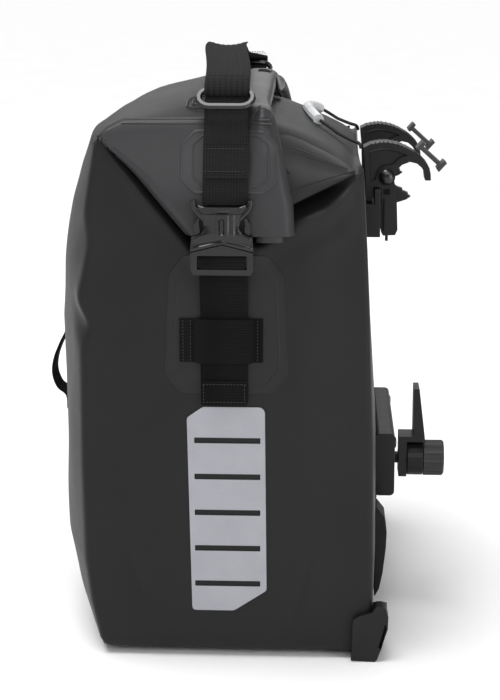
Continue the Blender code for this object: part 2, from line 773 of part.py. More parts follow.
def lower_hook_arm():
    """L-shaped hook that turns about the bolt and reaches behind the rack's stay."""
    y = LOWER_HOOK_Y
    outline = [(111.6, 84.0), (117.1, 84.0), (117.1, 108.4), (129.5, 108.4), (129.2, 112.0), (125.0, 145.6),
               (BLADE_X, 145.6), (BLADE_X, 112.2), (111.6, 112.2)]
    arm = prism("lower_hook_arm", outline, y - 10.0, y + 10.0, plastic(), origin=(111.6, y, LOWER_HOOK_Z))
    hole = [(105.0, 3.4), (125.0, 3.4)]
    boolean(arm, lathe("lower_hook_arm_hole", hole, "X", (0, y, LOWER_HOOK_Z), None, steps=12))
    return arm


def lower_hook_spacer():
    profile = [(117.4, 3.4), (117.4, 12.0), (128.4, 12.0), (128.4, 3.4)]
    return hollow_turn("lower_hook_spacer", profile, plastic(), 24, 0.0)


def lower_hook_knob():
    profile = [(128.8, 3.4), (128.8, 12.2), (141.4, 12.2), (142.6, 11.0), (142.6, 3.4)]
    return hollow_turn("lower_hook_knob", profile, dark_grey_plastic(), 48, 0.5)


def hollow_turn(name, profile, mat, steps, ribs):
    """A turned ring about the lower hook's bolt, ribbed on its rim if asked."""
    rings = []
    for i in range(steps):
        turn = 2 * math.pi * i / steps
        cut = ribs if i % 2 else 0.0
        ring = []
        for along, radius in profile:
            r = radius - cut if radius > 5.0 else radius
            ring.append((along, LOWER_HOOK_Y + r * math.cos(turn), LOWER_HOOK_Z + r * math.sin(turn)))
        rings.append(ring)
    return loft(name, rings, mat, origin=(profile[0][0], LOWER_HOOK_Y, LOWER_HOOK_Z), closed=True)


# ---------------------------------------------------------------- pads and guards
def bumper_pad(name, side):
    """Domed rubber pad that keeps the bag off the rack."""
    y = side * 95.0
    dome = [(95.0, 22.0), (97.6, 27.0), (99.8, 38.0), (101.6, 55.0), (102.0, 66.0)]
    dome += [(100.6, 76.0), (95.0, 83.0)]
    outline = [(94.4, 22.0)] + dome + [(94.4, 83.0)]
    pad = prism(name, outline, y - 11.0, y + 11.0, plastic())
    bevel(pad, 0.8, 1, 50)
    return pad


def corner_guard(name, side):
    """Moulded shoe over a rear bottom corner."""
    outline = (
        (79.0, -3.4), (94.0, -4.2), (95.6, -2.6), (98.4, 6.0), (102.0, 18.0), (102.2, 26.0),
        (100.5, 32.0), (98.5, 33.0), (94.5, 33.0), (91.9, 28.6), (84.0, 26.4), (80.0, 24.0),
    )
    y_out = side * (HALF_WIDTH + 4.0)
    y_in = side * 122.0
    guard = prism(name, outline, min(y_out, y_in), max(y_out, y_in), plastic())
    low = min(side * 100.0, side * (HALF_WIDTH + 0.6))
    high = max(side * 100.0, side * (HALF_WIDTH + 0.6))
    boolean(guard, block(name + "_pocket", (60.0, low, -0.5), (91.6, high, 60.0), None))
    groove = (min(y_out, y_out - side * 5.0) - 0.01, max(y_out, y_out - side * 5.0) + 0.01)
    slot = ((96.2, 5.5), (97.8, 4.6), (101.3, 18.5), (100.2, 21.5))
    boolean(guard, prism(name + "_slot", slot, groove[0] - 1, groove[1] + 1, None))
    low = min(side * 100.0, side * (HALF_WIDTH - 6.0))
    high = max(side * 100.0, side * (HALF_WIDTH - 6.0))
    boolean(guard, block(name + "_step", (60.0, low, 24.0), (110.0, high, 60.0), None))
    return guard


def build():
    clear_scene()
    for whole in (front_panel, back_panel, back_board, base_panel, top_front_panel, top_back_panel,
                  closure_roll, roll_tab, carry_handle, light_loop, top_rail, pull_grip, lower_rail,
                  lower_hook_bolt, lower_hook_arm, lower_hook_spacer, lower_hook_knob):
        whole()
    paired = (side_panel, ear, rear_fold, ear_patch, strap_patch, reflector, ring, ear_strap, side_webbing,
              keeper, buckle_blade, buckle_socket, hook_body, jaw, jaw_pin, tube_insert, pull_cord,
              bumper_pad, corner_guard)
    for end, side in (("near", -1), ("far", 1)):
        for make in paired:
            make(f"{make.__name__}_{end}", side)
        for place, hand in (("front", -1), ("rear", 1)):
            squeeze_arm(f"squeeze_arm_{end}_{place}", side, hand)


build()
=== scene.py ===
"""Looks for a roll-top pannier bag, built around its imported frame.

Lengths are millimetres in the frame's own axes: +X towards the rack, +Y along the bag's width,
+Z up. The end of the bag on the -Y side is called near and the other one far.
"""

import math

import bmesh
import bpy
import numpy as np
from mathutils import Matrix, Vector


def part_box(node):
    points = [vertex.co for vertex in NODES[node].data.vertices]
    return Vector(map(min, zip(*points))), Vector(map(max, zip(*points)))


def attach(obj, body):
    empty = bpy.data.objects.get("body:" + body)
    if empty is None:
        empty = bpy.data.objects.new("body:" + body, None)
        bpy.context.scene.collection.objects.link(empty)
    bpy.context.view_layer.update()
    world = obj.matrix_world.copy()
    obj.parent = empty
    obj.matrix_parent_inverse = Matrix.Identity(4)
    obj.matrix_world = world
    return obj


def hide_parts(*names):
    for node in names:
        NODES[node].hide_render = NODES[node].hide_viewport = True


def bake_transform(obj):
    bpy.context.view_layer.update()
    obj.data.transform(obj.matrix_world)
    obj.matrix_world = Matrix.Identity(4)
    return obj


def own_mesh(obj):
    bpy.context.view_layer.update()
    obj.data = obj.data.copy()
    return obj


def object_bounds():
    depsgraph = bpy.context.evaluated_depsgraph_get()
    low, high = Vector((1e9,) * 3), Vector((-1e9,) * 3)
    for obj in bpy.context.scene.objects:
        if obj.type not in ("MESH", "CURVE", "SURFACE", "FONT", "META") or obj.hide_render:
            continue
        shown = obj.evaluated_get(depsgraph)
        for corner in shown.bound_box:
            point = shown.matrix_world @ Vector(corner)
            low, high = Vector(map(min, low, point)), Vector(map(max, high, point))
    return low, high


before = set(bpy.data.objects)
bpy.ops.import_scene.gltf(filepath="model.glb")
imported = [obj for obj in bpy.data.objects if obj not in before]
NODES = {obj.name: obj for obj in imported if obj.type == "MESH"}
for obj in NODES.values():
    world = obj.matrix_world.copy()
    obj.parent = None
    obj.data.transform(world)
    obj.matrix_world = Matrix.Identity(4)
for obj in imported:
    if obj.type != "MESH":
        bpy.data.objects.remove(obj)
CAD_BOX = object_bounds()
ENDS = (("near", -1), ("far", 1))
MM = 0.001


# ---------------------------------------------------------------- numbers and grids
def box_mm(node):
    """Lowest and highest corner of a CAD node."""
    low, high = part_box(node)
    return np.array(low) / MM, np.array(high) / MM


def ease(start, end, at):
    """0 before start, 1 after end, smooth between them."""
    t = np.clip((np.asarray(at, float) - start) / (end - start), 0.0, 1.0)
    return t * t * (3.0 - 2.0 * t)


def hump(at, centre, width):
    """A smooth bell of height 1."""
    return np.exp(-(((np.asarray(at, float) - centre) / width) ** 2))


def table(pairs, at):
    """Straight-line value between the given (place, value) pairs."""
    places, values = zip(*pairs)
    return np.interp(at, places, values)


def curve_points(points, step):
    """Catmull-Rom points about a step apart through a few given ones."""
    p = [np.array(q, float) for q in points]
    p = [2 * p[0] - p[1]] + p + [2 * p[-1] - p[-2]]
    out = []
    for i in range(1, len(p) - 2):
        count = max(int(np.linalg.norm(p[i + 1] - p[i]) / step), 1)
        for s in range(count):
            t = s / count
            a = 2 * p[i] + (p[i + 1] - p[i - 1]) * t
            b = (2 * p[i - 1] - 5 * p[i] + 4 * p[i + 1] - p[i + 2]) * t * t
            c = (3 * p[i] - p[i - 1] - 3 * p[i + 1] + p[i + 2]) * t**3
            out.append((a + b + c) / 2)
    out.append(p[-2])
    return np.array(out)


def unit(v):
    return v / np.maximum(np.linalg.norm(v, axis=-1, keepdims=True), 1e-9)


def grid_normals(grid, out):
    """Unit normals of a grid of points, turned to the side of out unless that is None."""
    normal = unit(np.cross(np.gradient(grid, axis=1), np.gradient(grid, axis=0)))
    if out is not None and float((normal @ np.array(out, float)).sum()) < 0:
        normal = -normal
    return normal


def grid_faces(rows, cols, start=0, wrap_rows=False, wrap_cols=False):
    faces = []
    for r in range(rows if wrap_rows else rows - 1):
        for c in range(cols if wrap_cols else cols - 1):
            a = r * cols
            b = (r + 1) % rows * cols
            d = (c + 1) % cols
            faces.append((start + a + c, start + a + d, start + b + d, start + b + c))
    return faces


# ---------------------------------------------------------------- pieces
def piece(name, data, mat, body, slot, stands_for=(), sharp=35):
    """One mesh object, made from (points, faces, UVs), that rides on a body if one is named."""
    points, faces, uvs = data
    mesh = bpy.data.meshes.new(name)
    mesh.from_pydata((np.asarray(points, float) * MM).tolist(), [], faces)
    layer = mesh.uv_layers.new(name="UVMap")
    index = np.empty(len(mesh.loops), np.int32)
    mesh.loops.foreach_get("vertex_index", index)
    layer.data.foreach_set("uv", np.asarray(uvs, np.float32)[index].ravel())
    work = bmesh.new()
    work.from_mesh(mesh)
    bmesh.ops.recalc_face_normals(work, faces=work.faces)
    work.to_mesh(mesh)
    work.free()
    mesh.materials.append(mat)
    mesh.shade_smooth()
    mesh.set_sharp_from_angle(angle=math.radians(sharp))
    obj = bpy.data.objects.new(name, mesh)
    bpy.context.scene.collection.objects.link(obj)
    if body:
        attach(obj, body)
    if stands_for:
        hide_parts(*stands_for)
    return obj


def grid_uvs(grid):
    """Distance along the columns and rows of a grid, in units of 10 mm."""
    across = np.linalg.norm(np.diff(grid, axis=1), axis=2)
    along = np.linalg.norm(np.diff(grid, axis=0), axis=2)
    u = np.concatenate([np.zeros((grid.shape[0], 1)), np.cumsum(across, axis=1)], axis=1)
    u = u - u[:, -1:] / 2
    v = np.concatenate([np.zeros((1, grid.shape[1])), np.cumsum(along, axis=0)], axis=0)
    v = np.repeat(v.mean(axis=1, keepdims=True), grid.shape[1], axis=1)
    return np.stack([u, v], axis=2).reshape(-1, 2) / 10.0


def sheet_data(grid, thick, out):
    """Points, faces and UVs of a closed sheet whose outer face is the grid."""
    grid = np.asarray(grid, float)
    rows, cols = grid.shape[:2]
    inner = grid - grid_normals(grid, out) * thick
    count = rows * cols
    faces = grid_faces(rows, cols)
    faces += [tuple(i + count for i in reversed(f)) for f in grid_faces(rows, cols)]
    rim = list(range(cols)) + [r * cols + cols - 1 for r in range(1, rows)]
    rim += [(rows - 1) * cols + c for c in range(cols - 2, -1, -1)]
    rim += [r * cols for r in range(rows - 2, 0, -1)]
    for a, b in zip(rim, rim[1:] + rim[:1]):
        faces.append((b, a, a + count, b + count))
    points = np.concatenate([grid.reshape(-1, 3), inner.reshape(-1, 3)])
    uvs = grid_uvs(grid)
    return points, faces, np.concatenate([uvs, uvs])


def sheet(name, grid, thick, out, mat, body, slot, **more):
    return piece(name, sheet_data(grid, thick, out), mat, body, slot, **more)


def ring_data(rings, wrap=False):
    """Points, faces and UVs of a body through rings of equal length, capped unless it wraps."""
    rings = np.asarray(rings, float)
    rows, cols = rings.shape[:2]
    faces = grid_faces(rows, cols, wrap_rows=wrap, wrap_cols=True)
    if not wrap:
        faces.append(tuple(reversed(range(cols))))
        faces.append(tuple(range((rows - 1) * cols, rows * cols)))
    return rings.reshape(-1, 3), faces, grid_uvs(rings)


def join(parts):
    """Several (points, faces, uvs) as one."""
    points, faces, uvs = [], [], []
    count = 0
    for p, f, t in parts:
        points.append(p)
        uvs.append(t)
        faces += [tuple(i + count for i in face) for face in f]
        count += len(p)
    return np.concatenate(points), faces, np.concatenate(uvs)


def tube_data(path, radius, sides=10):
    """A round tube along a path; radius may be one number or one for each point."""
    path = np.asarray(path, float)
    radius = np.broadcast_to(radius, len(path))
    along = unit(np.gradient(path, axis=0))
    u = np.cross(along[0], (0.31, 0.17, 0.93))
    rings = []
    for p, d, r in zip(path, along, radius):
        u = u - d * (u @ d)
        u = u / np.linalg.norm(u)
        v = np.cross(d, u)
        turn = 2 * np.pi * np.arange(sides)[:, None] / sides
        rings.append(p + (u * np.cos(turn) + v * np.sin(turn)) * r)
    return ring_data(rings)


def round_edges(obj, width, segments):
    """Rounds the hard edges of a CAD node without touching its own mesh."""
    weld = obj.modifiers.new("weld", "WELD")
    weld.merge_threshold = 0.01 * MM
    made = obj.modifiers.new("round", "BEVEL")
    made.width = width * MM
    made.segments = segments
    made.limit_method = "ANGLE"
    made.angle_limit = math.radians(30)
    made.harden_normals = False


# ---------------------------------------------------------------- materials
class Nodes:
    """A small writer of shader nodes."""

    def __init__(self, name):
        self.mat = bpy.data.materials.new(name)
        self.mat.use_nodes = True
        self.tree = self.mat.node_tree
        self.shader = self.tree.nodes["Principled BSDF"]

    def add(self, kind, inputs=None, **settings):
        made = self.tree.nodes.new(kind)
        for key, value in settings.items():
            setattr(made, key, value)
        for key, value in (inputs or {}).items():
            if isinstance(value, bpy.types.NodeSocket):
                self.tree.links.new(value, made.inputs[key])
            else:
                made.inputs[key].default_value = value
        return made

    def math(self, operation, a, b=0.0, c=0.0):
        return self.add("ShaderNodeMath", {0: a, 1: b, 2: c}, operation=operation).outputs[0]

    def place(self, kind="Object"):
        return self.add("ShaderNodeTexCoord").outputs[kind]

    def noise(self, where, scale, detail=3.0, rough=0.55):
        values = {"Vector": where, "Scale": scale, "Detail": detail, "Roughness": rough}
        return self.add("ShaderNodeTexNoise", values).outputs["Fac"]

    def ramp(self, value, low, high, colours):
        """Colours from a value, the first at low and the last at high."""
        made = self.add("ShaderNodeValToRGB", {"Fac": value})
        stops = made.color_ramp.elements
        stops[0].position, stops[1].position = low, high
        stops[0].color, stops[1].color = [(*c, 1.0) for c in colours]
        return made.outputs["Color"]

    def span(self, value, low, high):
        """Stretches 0..1 to low..high."""
        return self.math("MULTIPLY_ADD", value, high - low, low)

    def bump(self, height, strength, distance):
        values = {"Height": height, "Strength": strength, "Distance": distance}
        made = self.add("ShaderNodeBump", values)
        self.link(made.outputs["Normal"], "Normal")

    def link(self, output, name):
        self.tree.links.new(output, self.shader.inputs[name])

    def set(self, **values):
        for key, value in values.items():
            self.shader.inputs[key.replace("_", " ")].default_value = value


def grey(value, blue=1.06):
    """A grey a little towards blue."""
    return (value, value * 1.01, value * blue)


def fabric_material(name, tone, rough):
    """Welded tarpaulin: a matte coat with a faint grain over a woven base."""
    n = Nodes(name)
    at = n.place()
    cloud = n.noise(at, 14.0, 4.0)
    grain = n.noise(at, 1500.0, 2.0, 0.7)
    scuff = n.noise(at, 90.0, 5.0, 0.65)
    shade = n.math("ADD", n.math("MULTIPLY", cloud, 0.6), n.math("MULTIPLY", grain, 0.4))
    n.link(n.ramp(shade, 0.25, 0.75, (grey(tone * 0.84), grey(tone * 1.18))), "Base Color")
    n.link(n.span(scuff, *rough), "Roughness")
    turned = n.add("ShaderNodeMapping", {"Vector": at, "Rotation": (0.3, 0.5, 0.7)}).outputs[0]
    weave = n.add("ShaderNodeTexVoronoi", {"Vector": turned, "Scale": 900.0}).outputs["Distance"]
    height = n.math("ADD", n.math("MULTIPLY", weave, 0.5), n.math("MULTIPLY", grain, 0.7))
    n.bump(height, 0.16, 0.0004)
    n.set(Specular_IOR_Level=0.19, Sheen_Weight=0.02, Sheen_Roughness=0.4)
    return n.mat


def webbing_material(name, rib_across, rib_along, tone):
    """Woven strap. rib_across and rib_along are the spacing, in mm, of ribs that run across the
    strap and along it. The pieces' UVs are in units of 10 mm."""
    n = Nodes(name)
    uv = n.add("ShaderNodeSeparateXYZ", {0: n.place("UV")})
    u = n.math("MULTIPLY", uv.outputs[0], 10.0)
    v = n.math("MULTIPLY", uv.outputs[1], 10.0)
    wave_v = n.math("SINE", n.math("MULTIPLY", v, 2 * math.pi / rib_across))
    wave_u = n.math("SINE", n.math("MULTIPLY", u, 2 * math.pi / rib_along))
    small = n.math("SINE", n.math("MULTIPLY", n.math("ADD", u, v), 2 * math.pi / 0.9))
    cross = n.math("MULTIPLY", wave_u, wave_v)
    ribs = n.math("MULTIPLY", n.math("ADD", wave_v, wave_u), 0.25)
    height = n.math("ADD", ribs, n.math("MULTIPLY", cross, 0.25))
    height = n.math("ADD", height, n.math("MULTIPLY", small, 0.12))
    fuzz = n.noise(n.place(), 2200.0, 3.0, 0.7)
    height = n.math("ADD", n.math("ADD", height, n.math("MULTIPLY", fuzz, 0.5)), 0.5)
    # the colour follows the weave's height: lighter rib tops and darker grooves, painted light and shade
    # on the relief
    n.link(n.ramp(height, 0.1, 1.3, (grey(tone * 0.55), grey(tone * 1.7))), "Base Color")
    n.link(n.span(fuzz, 0.72, 0.92), "Roughness")
    n.bump(height, 0.5, 0.0006)
    n.set(Specular_IOR_Level=0.06, Sheen_Weight=0.02, Sheen_Roughness=0.5)
    return n.mat


def plastic_material(name, tone, rough=(0.34, 0.48), grain=0.08, coat=0.0, shine=0.24):
    """Moulded plastic with a fine spark-eroded grain and rubbed patches."""
    n = Nodes(name)
    at = n.place()
    cloud = n.noise(at, 60.0, 4.0)
    fine = n.noise(at, 2600.0, 2.0, 0.6)
    n.link(n.ramp(cloud, 0.3, 0.7, (grey(tone * 0.85, 1.03), grey(tone * 1.2, 1.03))), "Base Color")
    n.link(n.span(n.noise(at, 160.0, 5.0, 0.7), *rough), "Roughness")
    n.bump(fine, grain, 0.0003)
    n.set(Specular_IOR_Level=shine, Coat_Weight=coat, Coat_Roughness=0.3)
    return n.mat


def film_material():
    """Grey retro-reflective film: tiny beads under a clear skin."""
    n = Nodes("reflective_film_look")
    at = n.place()
    beads = n.add("ShaderNodeTexVoronoi", {"Vector": at, "Scale": 2400.0}).outputs["Distance"]
    cloud = n.noise(at, 40.0, 4.0)
    mix = n.math("ADD", n.math("MULTIPLY", beads, 0.35), n.math("MULTIPLY", cloud, 0.65))
    n.link(n.ramp(mix, 0.2, 0.8, ((0.27, 0.275, 0.30), (0.345, 0.35, 0.38))), "Base Color")
    n.link(n.span(cloud, 0.40, 0.52), "Roughness")
    n.bump(beads, 0.12, 0.0003)
    n.set(Specular_IOR_Level=0.5, Metallic=0.15)
    return n.mat


def thread_material():
    """Twisted black sewing thread."""
    n = Nodes("thread")
    twist = n.noise(n.place(), 1800.0, 3.0)
    n.link(n.ramp(twist, 0.3, 0.7, (grey(0.008), grey(0.018))), "Base Color")
    n.link(n.span(twist, 0.6, 0.8), "Roughness")
    n.bump(twist, 0.4, 0.0003)
    return n.mat


def sheath_material():
    """Braided cover of the release cord."""
    n = Nodes("cord_sheath_look")
    uv = n.add("ShaderNodeSeparateXYZ", {0: n.place("UV")})
    u = n.math("MULTIPLY", uv.outputs[0], 2 * math.pi * 8)
    v = n.math("MULTIPLY", uv.outputs[1], 2 * math.pi * 6)
    one_way = n.math("SINE", n.math("ADD", u, v))
    other_way = n.math("SINE", n.math("SUBTRACT", u, v))
    braid = n.math("MULTIPLY", one_way, other_way)
    height = n.math("MULTIPLY_ADD", braid, 0.5, 0.5)
    # the colour follows the braid's height: lighter strands and darker grooves, painted light and shade
    # on the relief
    n.link(n.ramp(height, 0.0, 1.0, (grey(0.004), grey(0.014))), "Base Color")
    n.link(n.span(height, 0.55, 0.7), "Roughness")
    n.bump(height, 0.5, 0.0004)
    return n.mat


def floor_material():
    """Off-white studio paper."""
    n = Nodes("studio_floor")
    dust = n.noise(n.place(), 6.0, 4.0)
    n.link(n.ramp(dust, 0.2, 0.8, ((0.90, 0.90, 0.90), (0.93, 0.93, 0.93))), "Base Color")
    n.link(n.span(dust, 0.6, 0.7), "Roughness")
    return n.mat


# The folded ends and the roll use a lighter copy of the fabric, and the welds on the ends a lighter copy
# of the patch: painted light, as the photograph's light shows them.
FABRIC = fabric_material("coated_fabric", 0.0120, (0.46, 0.58))
PATCH = fabric_material("welded_patch", 0.0155, (0.34, 0.44))
FOLDED_PAINTED_LIGHT = fabric_material("folded_fabric_painted_light", 0.034, (0.34, 0.44))
EAR_PATCH_PAINTED_LIGHT = fabric_material("ear_patch_painted_light", 0.039, (0.32, 0.42))
WEB_LONG = webbing_material("handle_webbing", 1.3, 3.4, 0.0115)
WEB_EAR = webbing_material("ear_webbing", 1.5, 1.8, 0.0105)
WEB_SIDE = webbing_material("side_webbing_look", 1.7, 40.0, 0.0045)
WEB_ELASTIC = webbing_material("elastic_webbing_look", 30.0, 1.5, 0.0048)
PLASTIC = plastic_material("black_plastic_look", 0.0075)
SATIN = plastic_material("buckle_plastic_look", 0.0035, (0.16, 0.26), 0.03, 0.05, 0.42)
# near-black plastic for plates that stand in for shade in recesses: painted shade
SHADOW = plastic_material("recess_painted_shade", 0.0018, (0.5, 0.6), 0.05, 0.0, 0.1)
DARK_GREY = plastic_material("dark_grey_plastic_look", 0.030, (0.36, 0.5))
MID_GREY = plastic_material("grey_plastic_look", 0.040, (0.36, 0.5))
PALE_GREY = plastic_material("pale_plastic_look", 0.55, (0.3, 0.45), 0.03)
RUBBER = plastic_material("rubber_pad_look", 0.007, (0.5, 0.66), 0.15)
FILM = film_material()
THREAD = thread_material()
SHEATH = sheath_material()


# ---------------------------------------------------------------- shape of the bag
HALF_WIDTH = 150.0
SIDE_FLAT = 151.9  # the side's middle, just inside the film's back face
SIDE_EDGE = 149.0
SIDE_HALF_X = 80.0  # the side's outline is stretched from this half length to the edges
SEAM_Z = 338.0
ROLL_X = 13.5
FRONT_SHOULDER_Z = 321.0
BACK_SHOULDER_Z = 308.5
END_HALF = 147.0  # where the top turns into the ends
TOP_MID_Z = 354.6
BASE_SEAM_FADE = 26.0

# (height, X) of the side's front and rear edges, then (height, how far the middle bulges from them)
FRONT_EDGE = ((0, -78.0), (30, -84.0), (60, -87.5), (120, -88.5), (200, -88.0), (280, -84.0),
              (328, -76.5))
BACK_EDGE = ((0, 83.0), (10, 88.0), (29, 91.2), (60, 91.4), (134, 90.4), (259, 85.2), (313, 82.0),
             (322, 77.0))
FRONT_BULGE = ((0, 12.5), (10, 18.0), (30, 24.0), (60, 27.5), (85, 27.2), (120, 26.2), (165, 26.6),
               (200, 28.4), (240, 27.0), (300, 21.6), (328, 15.0))
BACK_BULGE = ((0, 1.0), (60, 3.0), (150, 3.0), (230, 0.5), (260, -1.5), (322, -2.5))

# (share of the way, share of the height) of the front slope at mid-width, and (X, Z) of the rear one
FRONT_RISE = ((0, 0), (0.05, 0.10), (0.105, 0.20), (0.163, 0.33), (0.22, 0.425), (0.337, 0.58),
              (0.453, 0.69), (0.57, 0.775), (0.684, 0.85), (0.82, 0.92), (1, 0.98))
REAR_MID = ((26, 338.2), (34, 335.8), (42, 332.6), (47, 330.4), (60, 323.2), (72, 315.4), (81, 308.5))

# (X, Z) of a side's top edge and of the lower line of its folds, then the folds' depth and width
SIDE_TOP = ((-80, 321), (-76.5, 325.5), (-71, 331.5), (-60, 334.6), (0, 335.6), (20, 335.0),
            (30, 316.0), (40, 301), (60, 301), (74, 305), (84, 306))
FOLD_LINE = ((-76.5, 326), (-20, 259), (20, 262), (41, 276), (60, 283), (78, 297))
FOLD_DEPTH = ((-77, 0), (-68, 6), (-45, 10), (20, 10), (38, 18), (60, 19), (72, 9), (79, 0))
FOLD_WIDTH = ((-77, 3), (20, 4), (42, 8), (76, 13))

# (depth, lean, Z, X at that Z, half width, Z where it comes in, Z where it fades) of the side's creases
SIDE_CREASES = ((2.2, 0.35, 60, -62, 5, (20, 45), (70, 100)), (1.5, -0.25, 40, 46, 4, (8, 25), (45, 75)))
# (depth, lean, Z at the edge, half height) of the dents where the front turns into the sides
FRONT_DENTS = ((4.5, -0.4, 208, 9), (-2.5, 0.0, 228, 9), (2.4, 0.5, 262, 12))


def across(y, power):
    """1 at mid-width, 0 at the sides."""
    return 1.0 - np.minimum(np.abs(y) / HALF_WIDTH, 1.0) ** power


def front_x(y, z):
    """X of the front panel, which bulges away from its edges."""
    return table(FRONT_EDGE, z) - table(FRONT_BULGE, z) * across(y, 2.2)


def back_x(y, z):
    """X of the back panel."""
    return table(BACK_EDGE, z) + table(BACK_BULGE, z) * across(y, 4.0)


def level_top(y):
    """1 at mid-width, 0 where the top turns into an end."""
    return 1.0 - np.minimum(np.abs(y) / END_HALF, 1.0) ** 4.0


def soft(x, y, z):
    """Gentle undulation of slack fabric, between about -1 and 1."""
    a = np.sin(x / 31 + z / 47 + 1.0) * np.sin(z / 39 - x / 53 + y / 71)
    b = np.sin(z / 21 + y / 33 + x / 27) * np.sin(y / 45 - z / 60 + 2.0)
    c = np.sin(x / 13 - z / 17 + y / 19)
    return 0.55 * a + 0.35 * b + 0.12 * c


def side_out(x, z):
    """Distance of the side's fabric from the bag's middle plane."""
    middle = (1.0 - ease(46, 78, np.abs(x))) * ease(0, BASE_SEAM_FADE, z)
    out = SIDE_EDGE + (SIDE_FLAT - SIDE_EDGE) * middle
    # the fabric is calm under the patch and the film
    calm = 1.0 - (1.0 - ease(30, 48, np.abs(x))) * ease(20, 30, z) * 0.9
    out = out + 0.9 * soft(x, 0.0, z) * calm
    # it goes in under the ear along the fold line, with a soft ridge below that line
    above = z - table(FOLD_LINE, x)
    top = table(SIDE_TOP, x) - z
    live = ease(2, 13 - 7 * ease(20, 32, x), top)
    out = out - 4.5 * (1 - ease(0, 12, top)) ** 1.5 * ease(-78, -60, x)
    out = out - table(FOLD_DEPTH, x) * ease(0, 1, above / table(FOLD_WIDTH, x)) * live
    ridge = ease(-78, -66, x) * (1.0 - ease(70, 78, x))
    out = out + (2.4 + 1.8 * ease(36, 50, x)) * hump(above, -3.0, 7.0) * ridge
    out = out + 1.8 * hump(above, -22.0, 9.0) * ease(38, 60, x) * (1 - ease(74, 82, x))
    for depth, lean, height, place, width, come, go in SIDE_CREASES:
        line = hump(x + lean * (z - height), place, width)
        out = out - depth * line * ease(*come, z) * (1 - ease(*go, z))
    return out


def top_z(x, y):
    """Height of the fabric over the top, from the front shoulder up to the roll and down again."""
    front = front_x(y, FRONT_SHOULDER_Z)
    share = np.clip((x - front) / (ROLL_X - 10.0 - front), 0.0, 1.0)
    mid = FRONT_SHOULDER_Z + (TOP_MID_Z - FRONT_SHOULDER_Z) * table(FRONT_RISE, share)
    end = table(SIDE_TOP, -77.0 + 80.0 * share)
    ahead = end + (mid - end) * level_top(y)
    to_rear = ease(35, 78, x)
    behind = table(REAR_MID, x) - (9.2 - 5.0 * to_rear) * (np.abs(y) / 120.0) ** 1.3
    # the rear slope turns down towards both ends, where the rear folds leave it
    end_share = np.clip((np.abs(y) - 96.0) / 51.0, 0.0, 1.0)
    behind = behind - 30.0 * end_share**2.2 * (1 - 0.8 * to_rear)
    mix = ease(ROLL_X - 8, ROLL_X + 10, x)
    wrinkle = 1.1 * soft(x * 1.6, y * 1.2, 20.0) * ease(0, 18, END_HALF - np.abs(y))
    return ahead * (1 - mix) + behind * mix + wrinkle


FRONT_COLS, SIDE_COLS, BACK_COLS = 96, 112, 76
WALL_ROWS = 168
CAP_ROWS = 34
FOOT_ROUND = ((7.0, 0.0), (3.2, 0.5), (1.2, 2.0), (0.3, 4.5))  # (inset, height) of the foot's rings
SPINE_HALF = 118.0  # half the length of the line under the roll on which the cap closes


def wall_ring(level):
    """One ring of the wall; level runs from 0 at the foot to 1 at the top edge."""
    near_then_back = (-1, BACK_COLS, back_x, BACK_SHOULDER_Z)
    far_then_front = (1, FRONT_COLS, front_x, FRONT_SHOULDER_Z)
    ring = []
    for side, cols, panel_x, shoulder in (near_then_back, far_then_front):
        xs = -side * np.linspace(-1, 1, SIDE_COLS, endpoint=False) * SIDE_HALF_X
        z = level * table(SIDE_TOP, xs)
        left, right = table(FRONT_EDGE, z) - 1.5, table(BACK_EDGE, z) + 1.5
        x = left + (right - left) * (xs + SIDE_HALF_X) / (2 * SIDE_HALF_X)
        ring.append(np.stack([x, side * side_out(x, z), z], axis=1))
        y = -side * np.linspace(-1, 1, cols, endpoint=False) * HALF_WIDTH
        z = np.full(cols, level * shoulder)
        ring.append(np.stack([panel_x(y, z) - side, y, z], axis=1))
    return np.concatenate(ring)


def round_corners(ring, passes):
    """Rounds a ring's corners and leaves the rest of its sides as they are."""
    soft_ring = ring
    for _ in range(passes):
        soft_ring = (np.roll(soft_ring, 1, axis=0) + 2 * soft_ring + np.roll(soft_ring, -1, axis=0)) / 4
    side = ease(135, 147, np.abs(ring[:, 1])) * (1 - ease(58, 70, np.abs(ring[:, 0])))
    return soft_ring + (ring - soft_ring) * side[:, None]


def front_creases(points):
    """Soft dents where the front panel turns into the sides."""
    x, y, z = points.T
    edge = hump(np.abs(y), HALF_WIDTH, 16) * (1 - ease(-70, -50, x))
    inward = HALF_WIDTH - np.abs(y)
    dent = sum(depth * hump(z + lean * inward, at, size) for depth, lean, at, size in FRONT_DENTS)
    middle = (1 - ease(-70, -50, x)) * ease(4, 40, inward)
    slack = 2.2 * soft(0.0, y * 0.9, z * 1.1)
    move = dent * edge + slack * middle
    return points + np.stack([move, 0 * x, 0 * x], axis=1)


